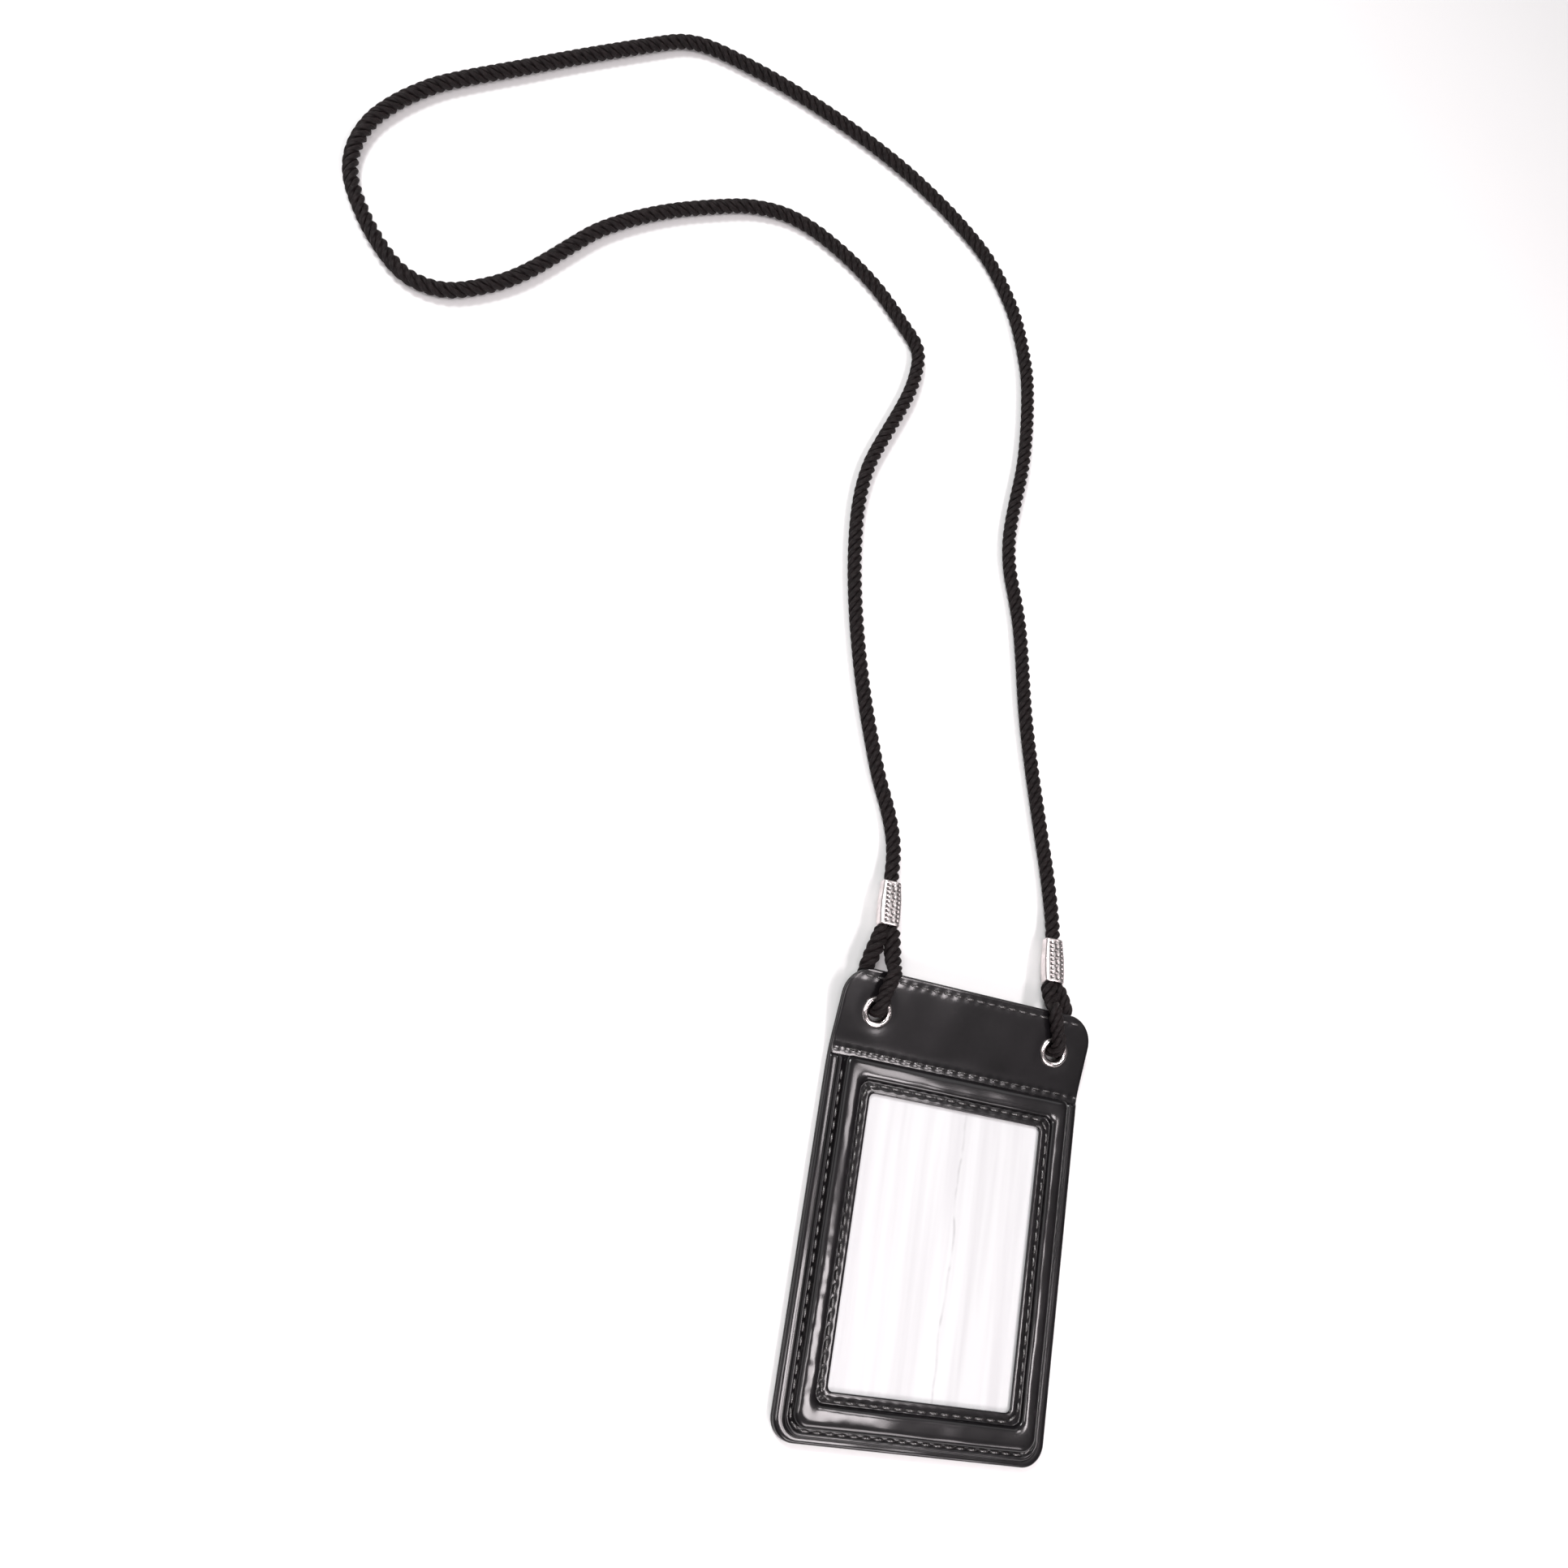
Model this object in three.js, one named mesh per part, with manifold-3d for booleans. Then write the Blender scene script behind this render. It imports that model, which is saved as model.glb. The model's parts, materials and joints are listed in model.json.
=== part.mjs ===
// Neck pouch wallet: a stitched leather card pouch with a padded window frame,
// two metal eyelets and a twisted neck cord crimped into two metal ferrules.
// Units are millimetres. The pouch lies on its back on the plane z = 0, its
// window faces +Z and its header (the eyelet end) points to +Y.

import * as THREE from 'three';
import { mergeVertices } from 'three/addons/utils/BufferGeometryUtils.js';
import Module from 'manifold-3d';

const wasm = await Module();
wasm.setup();

// ---------------------------------------------------------------- dimensions

const GAP = 0.05;                       // air between flat layers that touch
const FIT = 0.15;                       // air round pieces set into the tilted header
const FAR = 200;                        // reach of a cutting block

const pouch = {
  halfWidth: 38, bottom: -58.8, bendY: 37, headerLength: 23.9, corner: 6, headerCorner: 8,
};
const headerTilt = THREE.MathUtils.degToRad(15);

const back = { z0: 0, z1: 1.1 };
const front = { z0: back.z1 + GAP, z1: 2.15 };
const board = { halfWidth: 31, bottom: -54, top: 33, thickness: 0.4 };

const windowHole = { halfWidth: 25.8, bottom: -46, top: 27.6, corner: 1.6 };
const padInner = { halfWidth: 29, bottom: -49, top: 30.6, corner: 2.4 };
const padOuter = { halfWidth: 33.8, bottom: -55, top: 36.3, corner: 3.8 };
const bead = { halfWidth: 35.6, bottom: -57, top: 36.3, corner: 5 };
const flange = { top: 36.3, thickness: 0.8, round: 0.35 };
const frameBase = front.z1 + GAP;
const frameTop = 6.2;
const frameRound = 1.4;
const beadTop = 4.2;
const beadRound = 0.7;
const lip = { z0: 4.3, z1: 5.0 };
const skin = 0.8;                       // leather thickness over the padding

const card = { width: 54, length: 85.6, thickness: 0.76, top: 33.4, z0: 3.0, corner: 3.2 };
const channel = { halfWidth: 28.5, bottom: -53, top: 45 };
const film = { halfWidth: 28.3, bottom: -52.6, top: 33.6, thickness: 0.2, z0: 4.02 };
const lining = { halfWidth: 28.3, bottom: -52.6, top: 35.6, thickness: 0.25 };

const eyelet = { x: 27.4, along: 12.8, bore: 2.5, barrel: 2.72, flange: 4.35, headerHole: 2.9 };
const washer = { inner: 2.92, outer: 4.1, thickness: 0.2 };

const thread = { width: 0.7, height: 0.3 };
const headerTopThread = { along: 21.8, halfWidth: 33.5 };
const headerSeamThread = { along: 1.5, halfWidth: 33 };
const windowThread = { inset: 2.1 };
const frameThread = { inset: 0.55 };

const cordRadius = 2.1;
const strand = { halfWidth: 1.8, halfThickness: 1.25 };  // the cord where it is pulled flat
const hinge = { y: 63.6, z: 6.8 };                       // bend line of the four cord strands
const ferrule = { length: 13, halfWidth: 3.3, halfThickness: 2.1, wall: 0.75, round: 0.35 };
const crimps = {
  left: { mouth: [-28.2, 72.3, 5.8], end: [-28.4, 85.2, 4.2] },
  right: { mouth: [24.5, 68.0, 5.8], end: [23.9, 80.9, 4.2] },
};
// How far from the middle each loop's two legs cross the header's top edge.
const loops = {
  left: { side: -1, frontLeg: 25.2, rearLeg: 33.2 },
  right: { side: 1, frontLeg: 23.4, rearLeg: 31 },
};

// Run of the cord over the table, from the right crimp round the loop to the left one.
const cordRun = [
  [23.5, 91], [19.8, 104], [8.5, 144], [2, 176], [-4.8, 198], [-5.2, 209], [-3.5, 236],
  [-8.5, 272], [-23.5, 299], [-54, 318.5], [-91.5, 329.5], [-119, 332.5], [-134, 331.5],
  [-142, 325.5], [-174.5, 298], [-204.5, 269], [-213, 246], [-204.5, 226.5], [-187.5, 213.5],
  [-168.5, 223], [-143, 256], [-120, 274], [-94.5, 285], [-66.5, 276], [-46, 258],
  [-43.8, 252], [-44.8, 242], [-55, 206], [-54, 180], [-46.5, 145.5], [-36.3, 116], [-28.8, 99],
];

// ---------------------------------------------------------------- solids

function toSolid(geometry) {
  const bare = geometry.clone();
  bare.deleteAttribute('normal');
  bare.deleteAttribute('uv');
  const merged = mergeVertices(bare, 1e-4);
  return new wasm.Manifold(new wasm.Mesh({
    numProp: 3,
    vertProperties: Float32Array.from(merged.attributes.position.array),
    triVerts: Uint32Array.from(merged.index.array),
  }));
}

function toGeometry(solid) {
  const mesh = solid.getMesh();
  const geometry = new THREE.BufferGeometry();
  geometry.setAttribute('position', new THREE.BufferAttribute(mesh.vertProperties.slice(), 3));
  geometry.setIndex(new THREE.BufferAttribute(mesh.triVerts.slice(), 1));
  geometry.computeVertexNormals();
  return geometry;
}

// A rectangle with round corners, wound counter-clockwise.
function roundedOutline(Kind, x0, y0, x1, y1, lower, upper = lower) {
  const path = new Kind();
  path.moveTo(x0 + lower, y0);
  path.lineTo(x1 - lower, y0);
  path.absarc(x1 - lower, y0 + lower, lower, -Math.PI / 2, 0, false);
  path.absarc(x1 - upper, y1 - upper, upper, 0, Math.PI / 2, false);
  path.absarc(x0 + upper, y1 - upper, upper, Math.PI / 2, Math.PI, false);
  path.absarc(x0 + lower, y0 + lower, lower, Math.PI, Math.PI * 1.5, false);
  return path;
}

const outlineOf = (area, grow = 0, Kind = THREE.Shape) => roundedOutline(
  Kind,
  -area.halfWidth - grow,
  area.bottom - grow,
  area.halfWidth + grow,
  area.top + grow,
  Math.max(area.corner + grow, 0.3),
);

function plate(shape, z0, z1, segments = 6) {
  const geometry = new THREE.ExtrudeGeometry(shape, {
    depth: z1 - z0,
    bevelEnabled: false,
    curveSegments: segments,
  });
  geometry.translate(0, 0, z0);
  return geometry;
}

// A plate whose upper edges are rounded; it starts flat at z0.
function softPlate(shape, z0, z1, round, steps = 3) {
  const geometry = new THREE.ExtrudeGeometry(shape, {
    depth: z1 - z0 - round,
    bevelThickness: round,
    bevelSize: round,
    bevelOffset: -round,
    bevelSegments: steps,
    curveSegments: 5,
  });
  geometry.translate(0, 0, z0);
  return toSolid(geometry).subtract(block(-FAR, -FAR, z0 - FAR, FAR, FAR, z0));
}

function block(x0, y0, z0, x1, y1, z1) {
  const geometry = new THREE.BoxGeometry(x1 - x0, y1 - y0, z1 - z0);
  geometry.translate((x0 + x1) / 2, (y0 + y1) / 2, (z0 + z1) / 2);
  return toSolid(geometry);
}

function ring(outer, inner, outerGrow = 0, innerGrow = 0) {
  const shape = outlineOf(outer, outerGrow);
  shape.holes.push(outlineOf(inner, innerGrow, THREE.Path));
  return shape;
}

// ---------------------------------------------------------------- header bend

// A point of the tilted header, from its own length and height to y and z.
function onHeader(along, height) {
  return [
    pouch.bendY + along * Math.cos(headerTilt) - height * Math.sin(headerTilt),
    along * Math.sin(headerTilt) + height * Math.cos(headerTilt),
  ];
}

const pouchTop = onHeader(pouch.headerLength, 0)[0];

// A sheet of the full pouch outline, flat up to the bend line and then tilted up.
function bentSheet(z0, z1) {
  const mitre = Math.tan(headerTilt / 2);
  const side = new THREE.Shape([
    new THREE.Vector2(pouch.bottom, z0),
    new THREE.Vector2(pouch.bendY - z0 * mitre, z0),
    new THREE.Vector2(...onHeader(pouch.headerLength, z0)),
    new THREE.Vector2(...onHeader(pouch.headerLength, z1)),
    new THREE.Vector2(pouch.bendY - z1 * mitre, z1),
    new THREE.Vector2(pouch.bottom, z1),
  ]);
  const width = 2 * pouch.halfWidth;
  const geometry = new THREE.ExtrudeGeometry(side, { depth: width, bevelEnabled: false });
  geometry.translate(0, 0, -pouch.halfWidth);
  geometry.applyMatrix4(new THREE.Matrix4().makeBasis(
    new THREE.Vector3(0, 1, 0),
    new THREE.Vector3(0, 0, 1),
    new THREE.Vector3(1, 0, 0),
  ));
  const outline = roundedOutline(
    THREE.Shape, -pouch.halfWidth, pouch.bottom, pouch.halfWidth, pouchTop,
    pouch.corner, pouch.headerCorner);
  return toSolid(geometry).intersect(toSolid(plate(outline, -1, FAR / 10, 8)));
}

function eyeletHole(side) {
  const drill = new THREE.CylinderGeometry(eyelet.headerHole, eyelet.headerHole, 12, 20);
  drill.rotateX(Math.PI / 2);
  drill.translate(side * eyelet.x, eyelet.along, 1);
  drill.rotateX(headerTilt);
  drill.translate(0, pouch.bendY, 0);
  return toSolid(drill);
}

const punch = (sheet) => sheet.subtract(eyeletHole(-1)).subtract(eyeletHole(1));

// ---------------------------------------------------------------- pouch body

function backPanel() {
  const recess = block(
    -board.halfWidth - FIT, board.bottom - FIT, back.z1 - board.thickness - 2 * GAP,
    board.halfWidth + FIT, board.top + FIT, back.z1 + 1);
  return toGeometry(punch(bentSheet(back.z0, back.z1)).subtract(recess));
}

const frontPanel = () => toGeometry(punch(bentSheet(front.z0, front.z1)));

function stiffenerBoard() {
  const area = { ...board, corner: 2 };
  return plate(outlineOf(area), back.z1 - board.thickness - GAP, back.z1 - GAP);
}

const pocketLining = () => plate(
  outlineOf({ ...lining, corner: 1 }), frameBase, frameBase + lining.thickness);

const channelBlock = (grow) => block(
  -channel.halfWidth - grow, channel.bottom - grow, frameBase - 1,
  channel.halfWidth + grow, channel.top, lip.z0 + grow);

// The padded leather frame: a flat flange, a low bead, a rounded bulge and a thin window lip.
function windowFrame() {
  const base = { ...pouch, top: flange.top };
  const bulgeHole = ring(base, padInner);
  const skirt = softPlate(bulgeHole, frameBase, frameBase + flange.thickness, flange.round, 2);
  const border = softPlate(ring(bead, padInner), frameBase, beadTop, beadRound, 2);
  const bulge = softPlate(ring(padOuter, padInner), frameBase, frameTop, frameRound);
  const lipRing = toSolid(plate(ring(padInner, windowHole, skin), lip.z0, lip.z1));
  const hollow = softPlate(
    ring(padOuter, padInner, -skin, skin), frameBase - 1, frameTop - skin, frameRound - 0.4);
  return toGeometry(
    skirt.add(border).add(bulge).add(lipRing).subtract(hollow).subtract(channelBlock(0)));
}

function framePadding() {
  const inset = skin + 0.12;
  const foam = softPlate(
    ring(padOuter, padInner, -inset, inset), frameBase, frameTop - inset, frameRound - 0.4);
  return toGeometry(foam.subtract(channelBlock(FIT)));
}

const windowFilm = () => plate(
  outlineOf({ ...film, corner: 1.5 }), film.z0, film.z0 + film.thickness);

function insertCard() {
  const area = {
    halfWidth: card.width / 2,
    bottom: card.top - card.length,
    top: card.top,
    corner: card.corner,
  };
  return plate(outlineOf(area), card.z0, card.z0 + card.thickness, 8);
}

// ---------------------------------------------------------------- metal fittings

function lathe(points, segments = 24) {
  const profile = points.map(([radius, height]) => new THREE.Vector2(radius, height));
  profile.push(profile[0].clone());
  const geometry = new THREE.LatheGeometry(profile, segments);
  geometry.rotateX(Math.PI / 2);
  return toGeometry(toSolid(geometry));
}

// Barrel through the header, a domed flange in front and a rolled edge behind.
function eyeletRing() {
  const seat = front.z1 + FIT;
  const under = -FIT - washer.thickness - 0.08;
  return lathe([
    [eyelet.bore, under - 0.1],
    [eyelet.bore + 0.25, under - 0.27],
    [3.1, under - 0.22],
    [3.2, under],
    [eyelet.barrel, under],
    [eyelet.barrel, seat],
    [eyelet.flange, seat],
    [eyelet.flange, seat + 0.15],
    [eyelet.flange - 0.55, seat + 0.42],
    [eyelet.flange - 1.2, seat + 0.5],
    [eyelet.bore + 0.4, seat + 0.38],
    [eyelet.bore, seat + 0.1],
  ]);
}

function eyeletWasher() {
  const top = -FIT;
  return lathe([
    [washer.inner, top - washer.thickness],
    [washer.outer, top - washer.thickness],
    [washer.outer, top],
    [washer.inner, top],
  ]);
}

function stadium(Kind, halfWidth, halfThickness) {
  return roundedOutline(
    Kind, -halfWidth, -halfThickness, halfWidth, halfThickness, halfThickness * 0.98);
}

// A flattened tube squeezed round two cord strands, along its own z axis.
function ferruleTube() {
  const shape = stadium(THREE.Shape, ferrule.halfWidth, ferrule.halfThickness);
  const bore = stadium(
    THREE.Path, ferrule.halfWidth - ferrule.wall, ferrule.halfThickness - ferrule.wall);
  shape.holes.push(bore);
  const geometry = new THREE.ExtrudeGeometry(shape, {
    depth: ferrule.length - 2 * ferrule.round,
    bevelThickness: ferrule.round,
    bevelSize: ferrule.round,
    bevelOffset: -ferrule.round,
    bevelSegments: 2,
    curveSegments: 4,
  });
  geometry.translate(0, 0, ferrule.round);
  return toGeometry(toSolid(geometry));
}

// Where a ferrule stands: its z axis runs from the mouth to the far end, its x axis is level.
function crimpMatrix(crimp) {
  const axis = new THREE.Vector3(...crimp.end).sub(new THREE.Vector3(...crimp.mouth)).normalize();
  const across = new THREE.Vector3(0, 0, -1).cross(axis).normalize();
  const normal = axis.clone().cross(across);
  return new THREE.Matrix4().makeBasis(across, normal, axis).setPosition(...crimp.mouth);
}

// ---------------------------------------------------------------- cord

function sweep(points, shape, steps, sides) {
  const path = new THREE.CatmullRomCurve3(points.map((point) => new THREE.Vector3(...point)));
  return new THREE.ExtrudeGeometry(shape, { steps, extrudePath: path, curveSegments: sides });
}

const flatStrand = () => new THREE.Shape().absellipse(
  0, 0, strand.halfWidth, strand.halfThickness, 0, 2 * Math.PI, false);

// The squeezed pair of strands inside a ferrule.
function crimpedCore(crimp) {
  const clearance = ferrule.wall + 0.2;
  const shape = stadium(
    THREE.Shape, ferrule.halfWidth - clearance, ferrule.halfThickness - clearance);
  const core = plate(shape, -1.3, ferrule.length + 1.4, 4);
  core.applyMatrix4(crimpMatrix(crimp));
  return toSolid(core);
}

// Two short strands from a ferrule's mouth towards the bend line.
function mouthStrands(crimp) {
  const [x, y, z] = crimp.mouth;
  const outward = Math.sign(x);
  const reach = 66.3;
  const pair = [
    { inner: x - outward * 1.1, end: x - outward * 1.6 },
    { inner: x + outward * 1.1, end: x + outward * (1.6 + 0.22 * (y - reach)) },
  ];
  return pair.map(({ inner, end }) => toSolid(sweep(
    [[end, reach, z + 0.5], [(inner + end) / 2, (y + reach) / 2, z + 0.3], [inner, y - 0.85, z]],
    flatStrand(), 4, 5)));
}

function neckCord() {
  const lay = cordRun.map(([x, y]) => [x, y, cordRadius + 0.05]);
  const beyond = (crimp) => new THREE.Vector3(0, 0, ferrule.length + 0.7)
    .applyMatrix4(crimpMatrix(crimp)).toArray();
  const points = [beyond(crimps.right), ...lay, beyond(crimps.left)];
  const round = new THREE.Shape().absarc(0, 0, cordRadius, 0, 2 * Math.PI, false);
  let cord = toSolid(sweep(points, round, 190, 4));
  for (const crimp of Object.values(crimps)) {
    cord = cord.add(crimpedCore(crimp));
    for (const piece of mouthStrands(crimp)) cord = cord.add(piece);
  }
  return toGeometry(cord);
}

// The cord's turn through an eyelet: over the header, down the bore and back beneath it.
function cordLoop({ side, frontLeg, rearLeg }) {
  const over = front.z1 + 0.65 + strand.halfThickness + FIT;
  const under = -(0.7 + strand.halfThickness + FIT);
  const turn = 2.4;
  const slack = turn * (1 - Math.SQRT1_2);
  const at = (x, along, height) => {
    const [y, z] = onHeader(along, height);
    return [side * x, y, z];
  };
  const points = [
    [side * frontLeg, hinge.y - 2.3, hinge.z + 1.3],
    at(frontLeg, 24.8, 3.5),
    at(frontLeg + 0.5, 22.8, over),
    at((frontLeg + eyelet.x) / 2 + 0.5, 18.5, over),
    at(eyelet.x, eyelet.along + turn, over),
    at(eyelet.x, eyelet.along + slack, over - slack),
    at(eyelet.x, eyelet.along, over - turn),
    at(eyelet.x, eyelet.along, under + turn),
    at(eyelet.x, eyelet.along + slack, under + slack),
    at(eyelet.x, eyelet.along + turn, under),
    at((rearLeg + eyelet.x) / 2, 18.8, under),
    at(rearLeg + 0.2, 22.8, under - 0.1),
    [side * rearLeg, hinge.y - 2.3, hinge.z - 1.8],
  ];
  return sweep(points, flatStrand(), 40, 5);
}

// ---------------------------------------------------------------- stitching

function threadRing(area, grow, z) {
  const half = thread.width / 2;
  return plate(ring(area, area, grow + half, grow - half), z, z + thread.height, 4);
}

function threadLine(halfWidth) {
  const geometry = new THREE.BoxGeometry(2 * halfWidth, thread.width, thread.height);
  geometry.translate(0, 0, front.z1 + FIT / 2 + thread.height / 2);
  return geometry;
}

const windowThreadRing = () => threadRing(windowHole, windowThread.inset, lip.z1 + GAP);

// The edge stitch runs down both sides and along the bottom, between the bulge and the bead.
function frameThreadRun() {
  const area = { ...padOuter, top: flange.top + 6 };
  const whole = toSolid(threadRing(area, frameThread.inset, beadTop + GAP));
  return toGeometry(whole.subtract(block(-FAR, flange.top - 1, 0, FAR, FAR, FAR)));
}

// ---------------------------------------------------------------- materials

const finish = (color, roughness, metalness) => (
  () => new THREE.MeshStandardMaterial({ color, roughness, metalness }));

const leather = finish(0x1c1b1b, 0.42, 0);
const backLeather = finish(0x191818, 0.5, 0);
const foam = finish(0x33322f, 0.95, 0);
const fibreBoard = finish(0x8a7a62, 0.9, 0);
const liningCloth = finish(0x2a2a2c, 0.9, 0);
const paper = finish(0xf2f2ef, 0.6, 0);
const nickel = finish(0xc9cacb, 0.22, 1);
const cordYarn = finish(0x241d19, 0.75, 0);
const sewingThread = finish(0x3a3836, 0.55, 0);

function clearPlastic() {
  const material = finish(0xffffff, 0.08, 0)();
  material.transparent = true;
  material.opacity = 0.25;
  return material;
}

// ---------------------------------------------------------------- assembly

function piece(name, geometry, material) {
  const mesh = new THREE.Mesh(geometry, material());
  mesh.name = name;
  return mesh;
}

function placed(mesh, x, y) {
  mesh.position.set(x, y, 0);
  return mesh;
}

function buildHeaderFittings() {
  const header = new THREE.Group();
  header.position.set(0, pouch.bendY, 0);
  header.rotation.x = headerTilt;
  for (const [word, side] of [['left', -1], ['right', 1]]) {
    const x = side * eyelet.x;
    header.add(placed(piece(`${word}_eyelet`, eyeletRing(), nickel), x, eyelet.along));
    header.add(placed(piece(`${word}_eyelet_washer`, eyeletWasher(), nickel), x, eyelet.along));
  }
  header.add(placed(
    piece('header_top_thread', threadLine(headerTopThread.halfWidth), sewingThread),
    0, headerTopThread.along));
  header.add(placed(
    piece('header_seam_thread', threadLine(headerSeamThread.halfWidth), sewingThread),
    0, headerSeamThread.along));
  return header;
}

function buildPouch() {
  const body = new THREE.Group();
  body.add(piece('back_panel', backPanel(), backLeather));
  body.add(piece('stiffener_board', stiffenerBoard(), fibreBoard));
  body.add(piece('front_panel', frontPanel(), leather));
  body.add(piece('pocket_lining', pocketLining(), liningCloth));
  body.add(piece('window_frame', windowFrame(), leather));
  body.add(piece('frame_padding', framePadding(), foam));
  body.add(piece('window_film', windowFilm(), clearPlastic));
  body.add(piece('insert_card', insertCard(), paper));
  body.add(piece('window_thread', windowThreadRing(), sewingThread));
  body.add(piece('frame_thread', frameThreadRun(), sewingThread));
  body.add(piece('left_cord_loop', cordLoop(loops.left), cordYarn));
  body.add(piece('right_cord_loop', cordLoop(loops.right), cordYarn));
  body.add(buildHeaderFittings());
  return body;
}

function buildCord() {
  const cord = new THREE.Group();
  cord.add(piece('neck_cord', neckCord(), cordYarn));
  for (const [word, crimp] of Object.entries(crimps)) {
    const tube = piece(`${word}_ferrule`, ferruleTube(), nickel);
    tube.applyMatrix4(crimpMatrix(crimp));
    cord.add(tube);
  }
  return cord;
}

const group = new THREE.Group();
group.add(buildPouch());
group.add(buildCord());

export default group;
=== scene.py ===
"""The look of the neck pouch wallet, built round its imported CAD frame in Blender 4.5.

Shapes are worked out in millimetres in the frame's own axes: the pouch lies on
z = 0 with its window up, and its header and cord run towards +Y. add_mesh()
turns them into metres.
"""

import json
import math
from collections import namedtuple

import bmesh
import bpy
import numpy as np
from mathutils import Matrix, Vector


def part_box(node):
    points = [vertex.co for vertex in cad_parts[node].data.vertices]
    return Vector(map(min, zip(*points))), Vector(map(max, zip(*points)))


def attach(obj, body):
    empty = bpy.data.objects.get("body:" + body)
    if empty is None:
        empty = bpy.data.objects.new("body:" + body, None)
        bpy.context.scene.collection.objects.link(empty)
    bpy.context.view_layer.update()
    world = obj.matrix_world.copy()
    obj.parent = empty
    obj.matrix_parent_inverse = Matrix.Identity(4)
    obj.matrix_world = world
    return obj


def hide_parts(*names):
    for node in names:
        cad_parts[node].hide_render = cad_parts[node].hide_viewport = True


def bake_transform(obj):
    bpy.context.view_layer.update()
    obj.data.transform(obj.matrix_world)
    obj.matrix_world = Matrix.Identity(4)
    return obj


MM = 0.001
TAU = 2 * math.pi

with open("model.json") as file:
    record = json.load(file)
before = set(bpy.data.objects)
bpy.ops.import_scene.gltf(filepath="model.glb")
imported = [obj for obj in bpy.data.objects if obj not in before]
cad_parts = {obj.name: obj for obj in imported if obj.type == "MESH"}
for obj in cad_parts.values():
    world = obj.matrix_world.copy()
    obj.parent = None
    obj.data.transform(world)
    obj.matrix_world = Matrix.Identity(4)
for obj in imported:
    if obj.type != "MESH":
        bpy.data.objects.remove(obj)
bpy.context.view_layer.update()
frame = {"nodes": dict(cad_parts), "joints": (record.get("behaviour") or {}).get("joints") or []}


# ------------------------------------------------------------------ measures

def corners(node):
    """Lowest and highest corner of a CAD node, in millimetres."""
    low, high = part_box(node)
    return np.array(low) / MM, np.array(high) / MM


def tube_ends(node):
    """The two end points of a long CAD node, the one nearer the pouch first."""
    points = np.array([v.co for v in frame["nodes"][node].data.vertices]) / MM
    middle = points.mean(0)
    axis = np.linalg.svd(points - middle, full_matrices=False)[2][0]
    axis *= np.sign(axis[1])
    along = (points - middle) @ axis
    return middle + axis * along.min(), middle + axis * along.max()


Area = namedtuple("Area", "half bottom top low_radius high_radius")


def grown(area, sides, bottom=None, top=None, radius=None):
    """The area with its sides, bottom and top moved outwards."""
    bottom = sides if bottom is None else bottom
    top = sides if top is None else top
    radius = sides if radius is None else radius
    return Area(
        area.half + sides,
        area.bottom - bottom,
        area.top + top,
        area.low_radius + radius,
        area.high_radius + radius,
    )


frame_low, frame_high = corners("window_frame")
thread_low, thread_high = corners("window_thread")
padding_low, padding_high = corners("frame_padding")
film_low, film_high = corners("window_film")

STITCH_INSET = 2.1
THREAD_HALF = 0.35
PADDING_COVER = 0.92
FOOT_CORNER = 6.0
HEADER_CORNER = 8.0
FLANGE_END_CORNER = 0.5
WINDOW_CORNER = 1.5
BULGE_FOOT_CORNER = 3.8
BULGE_TOP_CORNER = 1.8

outer_edge = Area(frame_high[0], frame_low[1], frame_high[1], FOOT_CORNER, FLANGE_END_CORNER)
window_edge = Area(
    thread_high[0] - STITCH_INSET - THREAD_HALF,
    thread_low[1] + STITCH_INSET + THREAD_HALF,
    thread_high[1] - STITCH_INSET - THREAD_HALF,
    WINDOW_CORNER,
    WINDOW_CORNER,
)
bulge_outer = Area(
    padding_high[0] + PADDING_COVER,
    padding_low[1] - PADDING_COVER,
    outer_edge.top,
    BULGE_FOOT_CORNER,
    BULGE_TOP_CORNER,
)
bulge_inner = grown(window_edge, sides=3.2, bottom=3.0, top=3.0, radius=0.9)
bead_edge = grown(bulge_outer, sides=1.8, bottom=2.2, top=0.0, radius=1.2)
stitch_line = grown(window_edge, STITCH_INSET)

FRAME_BASE = frame_low[2]
FRAME_TOP = frame_high[2]
STRIP_UNDERSIDE = 4.32      # of the leather strip that lies on the window film

# Heights stand on the back face; "along" is the distance past the bend line.
HEADER_TILT = math.radians(15)
BEND_Y = 37.0
BEND_REACH = 5.0
HEADER_LENGTH = 23.9
BACK_TOP = 1.1
FRONT_BASE = 1.15
FRONT_TOP = 2.15
SEAM_ALONG = 1.5
TOP_STITCH_ALONG = 21.8
EYELET_ALONG = 12.8
EYELET_X = float(np.mean([corners("right_eyelet")[0][0], corners("right_eyelet")[1][0]]))
EYELET_BORE = 2.5
EYELET_HOLE = EYELET_BORE + 0.4
STITCH_PITCH = 3.3

hinge = next(j for j in frame["joints"] if j["type"] == "hinge")
HINGE = np.array(hinge["pos_m"]) / MM


def sheet_point(along, height):
    """y and z of a point of the pouch's sheets.

    along is the distance past the bend line, height the distance above the back
    face. The sheet is flat before the bend, tilted after it, and an arc between.
    """
    along = np.asarray(along, float)
    radius = BEND_REACH / math.tan(HEADER_TILT / 2)
    share = np.clip((along + BEND_REACH) / (2 * BEND_REACH), 0, 1)
    angle = HEADER_TILT * share
    beyond = np.maximum(along - BEND_REACH, 0)
    before = np.minimum(along + BEND_REACH, 0)
    y = BEND_Y - BEND_REACH + before + radius * np.sin(angle) + beyond * math.cos(HEADER_TILT)
    z = radius * (1 - np.cos(angle)) + beyond * math.sin(HEADER_TILT)
    return y - height * np.sin(angle), z + height * np.cos(angle)


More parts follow.
